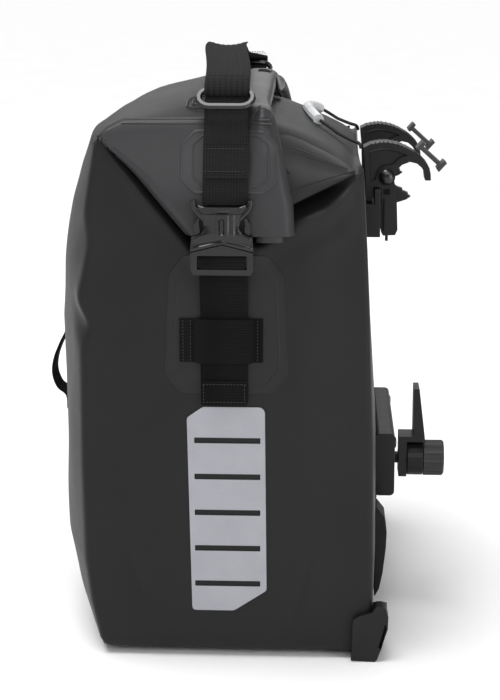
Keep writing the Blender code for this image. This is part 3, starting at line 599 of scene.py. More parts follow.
def shell():
    levels = np.linspace(0.0, 1.0, WALL_ROWS)
    rings = np.array([round_corners(wall_ring(v), 4) for v in levels])
    rings = np.array([front_creases(r) for r in rings])
    for _ in range(2):
        rings[1:-1] = (rings[:-2] + 2 * rings[1:-1] + rings[2:]) / 4
    foot = []
    for inset, z in FOOT_ROUND:
        ring = rings[2]
        spread = np.maximum(np.abs(ring[:, :2]) - inset, 0.0) * np.sign(ring[:, :2])
        foot.append(np.column_stack([spread, np.full(len(ring), z)]))
    base = []
    for share in (0.0, 0.35, 0.7):
        ring = foot[0] * np.array([1, 1, 0.0])
        base.append(ring * (0.02 + share * 0.98) + np.array([0, 0, 0.4 * (1 - share)]))
    top = rings[-1]
    spine_y = np.clip(top[:, 1], -SPINE_HALF, SPINE_HALF)
    spine = np.stack([np.full(len(top), ROLL_X), spine_y, top[:, 2]], axis=1)
    cap = []
    for share in np.linspace(0, 1, CAP_ROWS)[1:] ** 1.25:
        ring = top + (spine - top) * share
        ring[:, 2] = top_z(ring[:, 0], ring[:, 1])
        cap.append(ring)
    # the first cap rings ease from the wall's top edge to the surface over the top
    for i, keep in enumerate((0.75, 0.4, 0.12)):
        cap[i][:, 2] = cap[i][:, 2] * (1 - keep) + top[:, 2] * keep
    rows = np.concatenate([np.array(base), np.array(foot), rings[3:], np.array(cap)])
    # the rows on both sides of the shoulder are smoothed together
    start = len(base) + len(foot) + len(rings) - 3 - 6
    for _ in range(2):
        part = rows[start - 1:start + 12]
        rows[start:start + 11] = (part[:-2] + 2 * part[1:-1] + part[2:]) / 4
    replaced = ["front_panel", "back_panel", "base_panel", "top_front_panel", "top_back_panel",
                "back_board"]
    replaced += [f"side_panel_{end}" for end, _ in ENDS]
    piece("bag_shell", ring_data(rows), FABRIC, "bag", "coated_fabric", replaced, 60)


# ---------------------------------------------------------------- folded ends of the top
EAR_LIFT = 13.0
EAR_THICK = 1.3
EAR_FOLD_RADIUS = 7.6  # of the rounded fold at the ear's rear edge
# (X, Z) of the ear's weld, (Z, X) of its rear fold, and (share, out, Z) of its way over the roll's end
EAR_TOP = ((-80, 321), (-76.5, 325.5), (-71, 331.5), (-60, 334.6), (0, 335.6), (45, 335.6))
EAR_FOOT = 268.6
EAR_RIGHT = ((262, 42.6), (287, 41.1), (310, 36.4), (322, 31.9), (336, 29.8), (350, 28.5))
OVER_ROLL = ((0.0, 141.0, 345.0), (0.06, 148.0, 343.8), (0.14, 154.0, 339.5), (0.25, 158.6, 331.5),
             (0.4, 161.8, 318.0), (0.7, 163.9, 292.0), (1.0, 163.5, 268.6))
ROLL_BLEND = (12.0, 22.0)  # the X between which the ear comes to lie over the roll's end
CREASE_TOP = (-76.5, 327.0)
CREASE_FOOT = (-20.0, 259.0)


def ear_out(z):
    """How far out the folded-down ear lies at a height."""
    share = np.clip((SEAM_Z - z) / 60.0, 0.0, 1.0)
    return HALF_WIDTH + EAR_LIFT * np.sin(np.pi / 2 * share) - 3.4 * hump(z, SEAM_Z + 2.0, 9.0)


def crease_x(z):
    """X of the slanting crease that is the ear's front edge."""
    (x0, z0), (x1, z1) = CREASE_TOP, CREASE_FOOT
    return x0 + (x1 - x0) * np.clip((z0 - z) / (z0 - z1), 0.0, 1.0)


def ear_head(x):
    """Height of the ear's weld."""
    return table(EAR_TOP, x) + 2.6 * ease(-76, -60, x)


def over_roll(q):
    """How far out and how high the ear lies where it passes over the roll's end."""
    places, outs, heights = zip(*OVER_ROLL)
    return np.interp(q, places, outs), np.interp(q, places, heights)


def ear_point(x, q):
    """Point on the ear's outer face: q runs from 0 at its weld to 1 at its lower end."""
    head = ear_head(x)
    z = head - q * (head - EAR_FOOT)
    y = ear_out(z) + 0.5 - 2.2 * (1 - ease(0.0, 0.03, q))
    left = crease_x(z) + 2.0 - 4.0 * ease(300, 334, z)
    deep = 141.0 + 6.0 * ease(300, 334, z)
    edge = np.clip((x - left) / (3.0 + 8.0 * ease(0.0, 0.6, q)), 0.0, 1.0)
    y = deep + (y - deep) * np.sqrt(edge * (2.0 - edge))
    y = y + 0.8 * soft(x * 1.3, 9.0, z * 1.2) * ease(0.05, 0.2, q)
    over = ease(*ROLL_BLEND, x)
    out, height = over_roll(q)
    return y + (out - y) * over, z + (height - z) * over


def ear_share(x, z):
    """The q at which the ear passes a height."""
    head = ear_head(x)
    plain = np.clip((head - z) / (head - EAR_FOOT), 0, 1)
    places, _, heights = zip(*OVER_ROLL)
    fold = np.interp(-np.asarray(z, float), [-h for h in heights], places)
    return plain + (fold - plain) * ease(*ROLL_BLEND, x)


def ear_grid(side):
    """The ear's outer face, with its rear edge folded round and back under itself."""
    rows = []
    for q in np.linspace(0, 1, 58) ** 1.15:
        _, z_left = ear_point(-50.0, q)
        left = crease_x(z_left) + 1.0 - 4.0 * ease(300, 334, z_left)
        _, z_right = ear_point(24.0, q)
        right = table(EAR_RIGHT, z_right)
        radius = EAR_FOLD_RADIUS
        x = np.linspace(left, right - radius, 60)
        y, z = ear_point(x, np.full(len(x), q))
        run = unit(np.array(over_roll(q + 0.02)) - np.array(over_roll(q - 0.02)))
        normal = np.array([-run[1], run[0]])
        if normal[0] < 0 and q > 0.2 or normal @ np.array([0.5, 1.0]) < 0 and q <= 0.2:
            normal = -normal
        turn = np.linspace(0, np.pi, 14)[1:]
        ys = y[-1] - normal[0] * radius * (1 - np.cos(turn))
        zs = z[-1] - normal[1] * radius * (1 - np.cos(turn))
        xs = right - radius + radius * np.sin(turn)
        tail = np.linspace(0, 9, 5)[1:]
        xs = np.concatenate([x, xs, xs[-1] - tail])
        ys = np.concatenate([y, ys, np.full(4, ys[-1])])
        zs = np.concatenate([z, zs, np.full(4, zs[-1])])
        rows.append(np.stack([xs, side * ys, zs], axis=1))
    return np.array(rows)


def ears():
    """The roll's ends, folded down over the sides."""
    for end, side in ENDS:
        grid = ear_grid(side)
        normal = grid_normals(grid, None)
        # the folded edge faces both ways, so the flat part alone tells which way is out
        if float((grid_normals(grid[:, :50], None)[..., 1] * side).sum()) < 0:
            normal = -normal
        points, faces, uvs = sheet_data(grid, EAR_THICK, None)
        points[grid.shape[0] * grid.shape[1]:] = (grid - normal * EAR_THICK).reshape(-1, 3)
        data = (points, faces, uvs)
        # the ear is drawn in the fabric's lighter copy: painted light
        piece(f"folded_ear_{end}", data, FOLDED_PAINTED_LIGHT, "bag", "coated_fabric", [f"ear_{end}"], 50)


TUCK_RADIUS = 1.4


def rear_fold_point(along, share):
    """Fabric from the rear slope over the corner to the turned-under edge.

    along runs from the roll to the rear, share from the slope to the edge."""
    start_x, start_y = 26.0 + 52.0 * along, 90.0 + 36.0 * along
    start = np.array([start_x, start_y, float(top_z(start_x, start_y)) - 0.8])
    corner_y = 146.0 - 1.5 * along
    fall = 0.16 - 0.20 * along
    corner = np.array([27.5 + 51.0 * along, corner_y, start[2] - fall * (corner_y - start[1])])
    lift = 6.4 * (1 - along) ** 0.8
    end_y = 150.6 - 3.6 * along**3 + lift
    end = np.array([34.0 + 43.0 * along, end_y, 284.5 + 20.5 * along**0.92])
    point = (1 - share) ** 2 * start + 2 * share * (1 - share) * corner + share * share * end
    # a slack hollow between the corner and the edge
    point[1] -= 1.6 * math.sin(math.pi * along) * math.sin(math.pi * share) ** 2
    return point


def rear_folds():
    """Fabric between the roll's end and the rear top corner; its lower edge is turned under."""
    for end, side in ENDS:
        flip = np.array([1.0, side, 1.0])
        alongs = np.linspace(0, 1, 36)
        rows = [[rear_fold_point(a, t) for a in alongs] for t in np.linspace(0.0, 1.0, 40)]
        edge = np.array(rows[-1])
        for turn in np.linspace(0, np.pi, 8)[1:]:
            inward = TUCK_RADIUS * (1 - math.cos(turn))
            rows.append(edge + np.array([0.3, -inward, -TUCK_RADIUS * math.sin(turn)]))
        last = rows[-1]
        # the tucked-in part grows shorter towards the rear
        fade = 1.0 - 0.85 * alongs[:, None]
        for up in (3.0, 6.0, 9.0):
            rows.append(last + fade * np.array([0.0, -0.12 * up, up]))
        grid = np.array(rows) * flip
        sheet(f"rear_fold_{end}_look", grid, 1.0, (0, side, 0.3), FABRIC, "bag", "coated_fabric",
              stands_for=[f"rear_fold_{end}"], sharp=60)
        welds = []
        for t0 in (0.38, 0.43):
            line = [rear_fold_point(a, t0 + 0.16 * a**2) for a in np.linspace(0.22, 0.9, 30)]
            welds.append(tube_data(np.array(line) * flip, 0.32, 6))
        piece(f"rear_fold_welds_{end}", join(welds), PATCH, "bag", "coated_fabric")


# (X, Y, Z, half width, half thickness) from the end of the roll to near its middle
ROLL_PATH = (
    (26.8, 157.6, 264.6, 8.0, 4.2), (27.4, 157.9, 290.0, 9.0, 4.8), (26.0, 155.8, 316.0, 8.0, 4.8),
    (22.4, 149.0, 332.5, 8.0, 4.8), (19.4, 140.0, 338.0, 8.6, 5.2), (16.6, 127.0, 338.6, 10.4, 6.0),
    (ROLL_X, 108.0, 341.0, 11.6, 6.8), (ROLL_X, 70.0, 345.6, 11.8, 7.2),
    (ROLL_X, 30.0, 348.8, 11.8, 7.2),
)
ROLL_START = -0.35 * np.pi  # the angle at which the spiral begins


def roll():
    """The rolled mouth: a flattened spiral across the top, its ends bent down the sides."""
    stops = [(x, -y, z, w, h) for x, y, z, w, h in ROLL_PATH]
    stops += [(x, y, z, w, h) for x, y, z, w, h in reversed(ROLL_PATH)]
    path = curve_points(stops, 3.0)
    along = unit(np.gradient(path[:, :3], axis=0) * np.array([0, 1, 1]))
    rows = []
    for (x, y, z, half_width, half_thick), run in zip(path, along):
        normal = np.array([0.0, -run[2], run[1]])
        turns = np.linspace(ROLL_START, 4.4 * np.pi, 84)
        shrink = 1.0 - 0.125 * (turns - ROLL_START) / np.pi
        flat = 0.72  # below 1 squares the spiral off
        c, s = np.cos(turns), np.sin(turns)
        a = np.sign(c) * np.abs(c) ** flat * (half_width - 1.5 * (1 - shrink) * 4)
        b = np.sign(s) * np.abs(s) ** flat * half_thick * shrink
        rows.append(np.array([x, y, z]) + a[:, None] * np.array([1.0, 0, 0]) + b[:, None] * normal)
    grid = np.array(rows)
    grid[..., 2] += 0.5 * soft(grid[..., 0] * 2, grid[..., 1], 5.0)
    # the roll is drawn in the fabric's lighter copy: painted light
    sheet("rolled_mouth", grid, 0.9, None, FOLDED_PAINTED_LIGHT, "bag", "coated_fabric",
          stands_for=["closure_roll"], sharp=60)


def roll_tab():
    """Stitched tab over the back of the roll."""
    low, high = box_mm("roll_tab")
    route = [(14.0, 0, 357.0), (19.5, 0, 356.6), (24.0, 0, 354.2), (26.6, 0, 349.5), (27.6, 0, 344.5),
             (30.0, 0, 340.2)]
    path = curve_points(route, 1.2)
    rows = [[(x, y, z) for y in np.linspace(low[1] + 1, high[1] - 1, 12)] for x, _, z in path]
    sheet("roll_tab_look", rows, 1.5, (1, 0, 0.5), WEB_SIDE, "bag", "webbing", stands_for=["roll_tab"])
    spots = []
    for share in (0.3, 0.75):
        x, _, z = path[int(share * (len(path) - 1))]
        spots += seam([x + 0.3], np.arange(low[1] + 3, high[1] - 2, 2.2), [z + 0.4], (0, 1, 0), 1.5)
    stitches("roll_tab_stitches", spots)


# ---------------------------------------------------------------- welded patches and film
def octagon(x0, x1, z0, z1, cut_x, cut_z, corner=3.0):
    """A rounded octagon outline of (X, Z) points."""
    raw = [(x0 + cut_x, z0), (x1 - cut_x, z0), (x1, z0 + cut_z), (x1, z1 - cut_z),
           (x1 - cut_x, z1), (x0 + cut_x, z1), (x0, z1 - cut_z), (x0, z0 + cut_z)]
    return rounded(raw, corner)


def rounded(raw, corner, steps=5):
    """A closed outline with each corner turned into a short curve."""
    out = []
    for i, p in enumerate(raw):
        p = np.array(p, float)
        before = unit(np.array(raw[i - 1], float) - p) * corner
        after = unit(np.array(raw[(i + 1) % len(raw)], float) - p) * corner
        for t in np.linspace(0, 1, steps):
            out.append((1 - t) ** 2 * (p + before) + 2 * t * (1 - t) * p + t * t * (p + after))
    return np.array(out)


def dense(outline, step):
    """The same closed outline with points about a step apart."""
    out = []
    for a, b in zip(outline, np.roll(outline, -1, axis=0)):
        count = max(int(round(np.linalg.norm(b - a) / step)), 1)
        out += [a + (b - a) * k / count for k in range(count)]
    return np.array(out)


def patch_data(outline, surface, lift, thick):
    """A closed plate that follows a surface: outline of (X, Z), surface(x, z) gives the Y."""
    outline = np.asarray(outline, float)
    centre = (outline.min(axis=0) + outline.max(axis=0)) / 2
    rows = centre + (outline - centre) * np.linspace(0.03, 1.0, 14)[:, None, None]
    base = surface(rows[..., 0], rows[..., 1])
    sign = np.sign(base.mean())
    top = np.stack([rows[..., 0], base + sign * (lift + thick), rows[..., 1]], axis=2)
    edge = top[-1:] - np.array([0, sign * 0.5 * thick, 0])
    grown = centre + (outline - centre) * (1 + 0.35 * thick / np.abs(outline - centre).max())
    edge = np.stack([grown[:, 0], edge[0, :, 1], grown[:, 1]], axis=1)[None]
    under = np.stack([rows[..., 0], base + sign * lift, rows[..., 1]], axis=2)[::-1]
    return ring_data(np.concatenate([top, edge, under]))


def outline_strip(outline, surface, width, lift, thick):
    """A narrow raised band that follows a closed outline on a surface."""
    outline = np.asarray(outline, float)
    run = np.roll(outline, -1, axis=0) - np.roll(outline, 1, axis=0)
    normal = unit(np.stack([run[:, 1], -run[:, 0]], axis=1))
    section = ((-0.5, 0.0), (-0.3, 0.8), (0.0, 1.0), (0.3, 0.8), (0.5, 0.0), (0.0, -0.5))
    rings = []
    for p, n in zip(outline, normal):
        ring = []
        for a, b in section:
            x, z = p + n * a * width
            y = float(surface(np.array(x), np.array(z)))
            ring.append((x, y + math.copysign(lift + b * thick, y), z))
        rings.append(ring)
    return ring_data(rings, wrap=True)


WELD_RADIUS = 0.4
# (Z, first X, last X) of the short welds where the ear leaves the top
EAR_WELDS = ((336.6, -60.0, -12.0), (334.4, -62.0, -12.0), (337.0, 15.0, 27.0), (334.8, 15.0, 28.0))


def side_patch(end, side):
    """Welded reinforcement behind the buckle strap, with a raised double rim."""
    low, high = box_mm(f"strap_patch_{end}")

    def wall(x, z):
        return side * side_out(x, z)

    raw = np.array([(-28, low[2]), (28, low[2]), (high[0], 182), (35, 243), (26, high[2]),
                    (-25, high[2]), (-34, 243), (low[0], 182)])
    middle = (raw.min(axis=0) + raw.max(axis=0)) / 2
    outer = dense(rounded(raw, 3.0), 3.0)
    inner = dense(rounded(middle + (raw - middle) * np.array([0.87, 0.90]), 3.0), 3.0)
    parts = [patch_data(outer, wall, 0.05, 0.25), outline_strip(inner, wall, 1.2, 0.3, 0.22),
             outline_strip(outer, wall, 1.4, 0.1, 0.35)]
    piece(f"side_patch_{end}", join(parts), PATCH, "bag", "coated_fabric", [f"strap_patch_{end}"])


def ear_patch(end, side):
    """Octagon welded on an ear, the welds above it and the octagon welded on the top."""

    def ear_face(x, z):
        y, _ = ear_point(x, ear_share(x, z))
        return side * y

    outer = dense(octagon(-25.4, 31.2, 294.6, 330.2, 8.0, 7.6, 1.4), 2.0)
    inner = dense(octagon(-18.5, 26.3, 298.5, 327.9, 5.6, 5.4, 1.2), 2.0)
    parts = [outline_strip(outer, ear_face, 1.6, 0.1, 0.5),
             outline_strip(inner, ear_face, 1.3, 0.1, 0.7), patch_data(outer, ear_face, 0.0, 0.25)]
    for height, x0, x1 in EAR_WELDS:
        x = np.linspace(x0, x1, 24)
        z = np.full(len(x), height)
        line = np.stack([x, ear_face(x, z) + side * 0.2, z], axis=1)
        parts.append(tube_data(line, WELD_RADIUS, 6))
    for inset in (0.0, 3.4):
        ring = dense(octagon(-25 + inset, 23 - inset, 104 + inset, 130 - inset, 6, 6, 1.2), 2.0)
        ring = np.concatenate([ring, ring[:1]])
        z = top_z(ring[:, 0], ring[:, 1]) + 0.15
        line = np.stack([ring[:, 0], side * ring[:, 1], z], axis=1)
        parts.append(tube_data(line, WELD_RADIUS, 6))
    # the octagons and welds are drawn in the patch's lighter copy, like the ear: painted light
    piece(f"ear_weld_{end}", join(parts), EAR_PATCH_PAINTED_LIGHT, "bag", "coated_fabric", [f"ear_patch_{end}"])


def patches():
    for end, side in ENDS:
        side_patch(end, side)
        ear_patch(end, side)


FILM_SLOTS = 5
FIRST_SLOT_Z, SLOT_PITCH, SLOT_HALF = 46.4, 23.3, 1.85
FILM_LIFT, FILM_TOP = 0.2, 0.75  # the film's back and front face, out from the side's fabric


def slotted_sheet(outlines):
    """Flat points, triangles and rim edges of the first (X, Z) outline with the others as holes."""
    film = bpy.data.meshes.new("film")
    work = bmesh.new()
    edges = []
    for loop in outlines:
        verts = [work.verts.new((x, 0.0, z)) for x, z in loop]
        pairs = zip(verts, verts[1:] + verts[:1])
        edges += [work.edges.new(pair) for pair in pairs]
    bmesh.ops.triangle_fill(work, use_beauty=True, use_dissolve=False, edges=edges, normal=(0, -1, 0))
    work.to_mesh(film)
    work.free()
    flat = np.array([v.co[:] for v in film.vertices])
    faces = [tuple(p.vertices) for p in film.polygons]
    bpy.data.meshes.remove(film)
    count = {}
    for f in faces:
        for a, b in zip(f, f[1:] + f[:1]):
            key = (min(a, b), max(a, b))
            count[key] = count.get(key, 0) + 1
    return flat, faces, [key for key, n in count.items() if n == 1]


def reflectors():
    """Reflective film with slots cut through it."""
    for end, side in ENDS:
        low, high = box_mm(f"reflector_{end}")
        raw = [(low[0], high[2] - 7), (-14, high[2]), (22, high[2]), (24.2, high[2] - 2.5),
               (high[0], 42), (5, low[2]), (-20, low[2]), (-21.4, low[2] + 1.4)]
        outlines = [rounded(raw, 1.6, 4)]
        for i in range(FILM_SLOTS):
            z = FIRST_SLOT_Z + SLOT_PITCH * i
            below, above = z - SLOT_HALF, z + SLOT_HALF
            slot = [(-19.5, below), (21.5, below), (21.5, above), (-19.5, above)]
            outlines.append(rounded(slot, 0.5, 3))
        flat, faces, rim = slotted_sheet(outlines)
        total = len(flat)
        base = side_out(flat[:, 0], flat[:, 2])
        outer = np.stack([flat[:, 0], side * (base + FILM_TOP), flat[:, 2]], axis=1)
        inner = np.stack([flat[:, 0], side * (base + FILM_LIFT), flat[:, 2]], axis=1)
        all_faces = faces + [tuple(i + total for i in reversed(f)) for f in faces]
        all_faces += [(a, b, b + total, a + total) for a, b in rim]
        uvs = np.concatenate([flat[:, (0, 2)], flat[:, (0, 2)]]) / 10
        data = (np.concatenate([outer, inner]), all_faces, uvs)
        piece(f"reflective_film_{end}", data, FILM, "bag", "reflective_film",
              [f"reflector_{end}"], 30)


# ---------------------------------------------------------------- straps
# Middle (X) and width of each strap
WEB_X, WEB_WIDTH = -0.5, 29.0
EAR_X, EAR_WIDTH = 1.0, 27.2
HANDLE_WIDTH = 27.0
RIB_HEIGHT = 0.16


def stitch_data(at, run, length, radius=0.28):
    """One stitch: a small capsule that dips at both ends."""
    at, run = np.array(at, float), unit(np.array(run, float))
    path = [at + run * length * t for t in (-0.5, -0.3, 0.0, 0.3, 0.5)]
    return tube_data(path, np.array([0.4, 1.0, 1.1, 1.0, 0.4]) * radius, 6)


def seam(xs, ys, zs, run, length):
    """Stitches at every place that the given coordinates make, lengthwise along run."""
    return [((x, y, z), run, length) for x in xs for y in ys for z in zs]


def stitches(name, spots, slot="webbing"):
    """Many stitches as one piece; each spot is (place, direction, length)."""
    piece(name, join([stitch_data(*spot) for spot in spots]), THREAD, "bag", slot)


def strap_rings(path, width, thick, centre_x, ribs=0, step=1.2, flare=None):
    """Rings of a flat strap whose width lies along X, and its middle line; path is (Y, Z) points."""
    line = curve_points(path, step)
    run = unit(np.gradient(line, axis=0))
    u = np.linspace(-1, 1, 33)
    side = np.sqrt(np.clip(1 - np.abs(u) ** 14, 0, 1))
    rib = RIB_HEIGHT * np.cos(np.pi * ribs * (u + 1)) if ribs else 0.0
    top = thick / 2 * side + rib
    low = -thick / 2 * side
    rings = []
    for i, ((y, z), (dy, dz)) in enumerate(zip(line, run)):
        normal = np.array([-dz, dy])
        half = width / 2 if flare is None else flare(i / (len(line) - 1))
        ring = [(centre_x + half * a, y + normal[0] * t, z + normal[1] * t) for a, t in zip(u, top)]
        back = [(centre_x + half * a, y + normal[0] * t, z + normal[1] * t) for a, t in zip(u, low)]
        rings.append(ring + back[::-1][1:-1])
    return np.array(rings), line


def strap_data(rings):
    """Points, faces and UVs of a strap, with u across it and v along it on both faces."""
    mid = rings.mean(axis=1)
    v = np.concatenate([[0], np.cumsum(np.linalg.norm(np.diff(mid, axis=0), axis=1))])
    u = rings[..., 0] - mid[:, :1]
    uvs = np.stack([u, np.repeat(v[:, None], rings.shape[1], axis=1)], axis=2).reshape(-1, 2) / 10
    points, faces, _ = ring_data(rings)
    return points, faces, uvs


def strap(name, path, width, thick, centre_x, mat, body="bag", stands_for=(), **shape):
    rings, _ = strap_rings(path, width, thick, centre_x, **shape)
    return piece(name, strap_data(rings), mat, body, "webbing", stands_for, 50)


def handle():
    """Carry strap: it wraps each ring's upper bar and rises over the roll."""
    half = [(-136.0, 349.0), (-142.0, 350.2), (-146.5, 350.9), (-149.6, 353.2), (-149.4, 355.8),
            (-146.5, 358.2), (-140.0, 360.4), (-125.0, 363.4), (-95.0, 367.2), (-55.0, 370.6),
            (0.0, 373.2)]
    far_drop = {-140.0: 1.6, -125.0: 2.6, -95.0: 2.6, -55.0: 1.0}
    path = half + [(-y, z - far_drop.get(y, 0.0)) for y, z in reversed(half[:-1])]
    rings, line = strap_rings(path, HANDLE_WIDTH, 2.0, 0.0, ribs=8)
    # away from the rings the strap curls up at both edges
    curl = 2.8 * ease(150, 60, np.abs(line[:, 0]))[:, None]
    rings[..., 2] += curl * ((rings[..., 0] / (HANDLE_WIDTH / 2)) ** 2 - 0.3)
    rings[..., 0] += handle_x(line[:, 0])[:, None]
    piece("handle_strap", strap_data(rings), WEB_LONG, "bag", "webbing", ["carry_handle"], 50)
    spots = []
    for _, side in ENDS:
        for y, z in ((143.0, 360.8), (139.0, 362.0)):
            xs = handle_x(side * y) + np.arange(-12.0, 12.5, 2.0)
            spots += seam(xs, [side * y], [z], (1, 0, 0), 1.3)
    stitches("handle_stitches", spots)


def handle_x(y):
    """The strap drifts forwards towards its middle."""
    ahead = 1.3 - 8.1 * (1 - ease(10, 146, -np.asarray(y, float)))
    behind = -6.8 - 4.2 * ease(0, 62, y) + 12.3 * ease(112, 147, y)
    return np.where(np.asarray(y) < 0, ahead, behind)


def ear_straps():
    """Straps on the ears, from the rings down into the buckles."""
    for end, side in ENDS:
        path = [(side * 145.5, 349.6), (side * 149.6, 347.2)]
        for z in (342.0, 336.0, 330.0, 322.0, 315.0, 306.0, 298.0, 292.0, 288.0):
            path.append((side * (ear_out(z) + 2.7 + 1.4 * float(ease(314, 332, z))), z))
        strap(f"ear_webbing_{end}", path, EAR_WIDTH, 2.0, EAR_X, WEB_EAR, "bag",
              [f"ear_strap_{end}"], flare=lambda share: EAR_WIDTH / 2 - 0.6 * (1 - share))
        # the doubled part below the ring, sewn down in two rows
        over = [(side * (ear_out(z) + 4.6), z) for z in (322.0, 318.0, 312.0, 306.0, 303.5)]
        strap(f"ear_webbing_tail_{end}", over, EAR_WIDTH - 0.6, 1.3, EAR_X + 0.2, WEB_EAR)
        xs = np.arange(EAR_X - 11.8, EAR_X + 12, 2.0)
        rows = [(side * (float(ear_out(z)) + 5.5), z) for z in (320.6, 307.6)]
        spots = [((x, y, z), (1, 0, 0), 1.4) for x in xs for y, z in rows]
        stitches(f"ear_webbing_stitches_{end}", spots)


def side_straps():
    """Lower straps: from the buckle's lower half down the side to their sewn ends."""
    for end, side in ENDS:
        face = SIDE_FLAT + 2.7
        points = [(162.4, 245.4), (160.6, 239.0), (158.2, 232.0), (156.0, 225.0), (face + 0.4, 219.0),
                  (face, 212.0), (face, 190.0), (face, 176.0), (face, 164.0)]
        path = [(side * y, z) for y, z in points]
        web = strap(f"side_strap_{end}", path, WEB_WIDTH, 1.9, WEB_X, WEB_SIDE, "bag",
                    [f"side_webbing_{end}"])
        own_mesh(web)
        # the sewn end, turned back over the strap
        tail = [(side * (face + 1.7), z) for z in (178.0, 174.0, 168.0, 163.2)]
        strap(f"side_strap_tail_{end}", tail, WEB_WIDTH - 0.8, 1.5, WEB_X - 0.2, WEB_SIDE)
        out = [side * (face + 2.7)]
        spots = seam(np.arange(WEB_X - 12.5, WEB_X + 13, 2.1), out, (176.4, 165.2), (1, 0, 0), 1.4)
        for z in np.arange(167.0, 176.0, 2.1):
            spots += seam((WEB_X - 12.6, WEB_X + 12.4), out, [z], (0, 0, 1), 1.4)
        stitches(f"side_strap_stitches_{end}", spots)


def strap_wraps():
    """Webbing turned round the bar of the buckle's lower half."""
    for end, side in ENDS:
        out, z = 169.4, 254.1
        turns = np.radians(np.linspace(-150, 125, 26))
        path = [(side * (out + 4.6 * math.cos(t)), z + 3.6 * math.sin(t)) for t in turns]
        strap(f"strap_wrap_{end}", path, 28.0, 1.6, WEB_X - 0.2, WEB_SIDE, f"{end}_blade", step=0.8)


def keepers():
    """Elastic band over each side strap, sewn to the patch beside it."""
    for end, side in ENDS:
        low, high = box_mm(f"keeper_{end}")
        face = SIDE_FLAT + 1.4
        far = face + 3.9
        route = [(low[0], face), (-22.0, face), (-18.6, face + 0.3), (-16.6, far - 0.4), (-14.0, far),
                 (0.0, far + 0.3), (13.0, far), (15.4, far - 0.4), (17.2, face + 0.3), (20.0, face),
                 (high[0], face)]
        line = curve_points(route, 0.9)
        z = np.linspace(low[2] + 0.4, high[2] - 0.4, 24)
        grid = np.array([[(x, side * y, h) for h in z] for x, y in line])
        sheet(f"elastic_keeper_{end}", grid, 1.5, (0, side, 0), WEB_ELASTIC, "bag", "elastic_webbing",
              stands_for=[f"keeper_{end}"])
        rows = np.arange(low[2] + 2.0, high[2] - 1, 2.0)
        spots = seam((-25.8, -21.2, 19.6), [side * (face + 0.2)], rows, (0, 0, 1), 1.3)
        stitches(f"keeper_stitches_{end}", spots, slot="elastic_webbing")


def light_loop():
    """Loop for a lamp on the front, sewn down at both ends."""
    low, high = box_mm("light_loop")
    front = high[0] + 0.2
    # (how far ahead of the front panel, Z)
    route = [(0, 187.0), (0.2, 178.0), (4.2, 169.5), (8.8, 158.0), (10.2, 147.0), (7.0, 137.0),
             (0.8, 131.0), (0, 121.5)]
    line = curve_points([(front - ahead, z) for ahead, z in route], 1.0)
    y = np.linspace(low[1] + 0.3, high[1] - 0.3, 14)
    grid = np.array([[(x, v, z) for v in y] for x, z in line])
    sheet("lamp_loop", grid, 1.6, (-1, 0, 0), WEB_SIDE, "bag", "webbing", stands_for=["light_loop"])
    spots = []
    for z in (184.5, 180.5, 127.5, 123.5):
        spots += seam([front - 0.25], np.arange(low[1] + 2, high[1] - 1, 2.1), [z], (0, 1, 0), 1.4)
    stitches("lamp_loop_stitches", spots)


# ---------------------------------------------------------------- hard parts
# (node, material, edge rounding, its steps) of the CAD nodes that are shown; {} is near or far
HARD_PARTS = (
    ("ring_{}", SATIN, 0.0, 0),
    ("buckle_blade_{}", SATIN, 0.7, 3),
    ("buckle_socket_{}", SATIN, 0.8, 3),
    ("squeeze_arm_{}_front", SATIN, 0.6, 3),
    ("squeeze_arm_{}_rear", SATIN, 0.6, 3),
    ("hook_body_{}", PLASTIC, 0.5, 2),
    ("jaw_{}", PLASTIC, 0.4, 2),
    ("jaw_pin_{}", SATIN, 0.0, 0),
    ("tube_insert_{}", MID_GREY, 0.4, 2),
    ("bumper_pad_{}", RUBBER, 0.8, 2),
    ("corner_guard_{}", PLASTIC, 0.8, 2),
    ("top_rail", PLASTIC, 0.6, 2),
    ("pull_grip", PALE_GREY, 0.0, 0),
    ("lower_rail", PLASTIC, 0.6, 2),
    ("lower_hook_bolt", PLASTIC, 0.0, 0),
    ("lower_hook_arm", PLASTIC, 0.6, 2),
    ("lower_hook_spacer", PLASTIC, 0.5, 2),
    ("lower_hook_knob", DARK_GREY, 0.0, 0),
)


def hard_parts():
    """The moulded pieces keep their CAD shape, with a new material and rounded edges."""
    for pattern, mat, width, steps in HARD_PARTS:
        for node in sorted({pattern.format(end) for end, _ in ENDS}):
            obj = NODES[node]
            obj.data.materials.clear()
            obj.data.materials.append(mat)
            if width:
                round_edges(obj, width, steps)


# The release cord's route in the CAD, in two halves that meet at its middle
CORD_MIDDLE = (68.0, 54.5, 319.6)
GRIP_HALF = [(56.2, 47.2, 327.2), (60.5, 50.5, 324.6), CORD_MIDDLE]
HOOK_HALF = [CORD_MIDDLE, (76.0, 59.0, 316.0), (81.2, 62.0, 314.0), (82.6, 63.4, 311.0)]
CORD_RADIUS = 1.1


def release_cords():
    """Each cord in two halves, from the grip to the middle and from the middle to the hook."""
    for end, side in ENDS:
        flip = np.array([1.0, side, 1.0])
        halves = (("grip", GRIP_HALF, "pull", "bag", [f"pull_cord_{end}"]),
                  ("hook", HOOK_HALF, "bag", f"{end}_hook", ()))
        for name, route, first, last, stands_for in halves:
            line = curve_points(route, 0.7) * flip
            data = tube_data(line, CORD_RADIUS, 12)
            cord = piece(f"release_cord_{name}_{end}", data, SHEATH, "", "cord_sheath", stands_for)
            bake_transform(cord)


BUCKLE_X = -0.7
BUCKLE_Y = 169.0
FACE_FOOT, FACE_ARCH, FACE_TOP = 261.0, 4.6, 283.2  # lower edge at its ends, its rise, upper edge
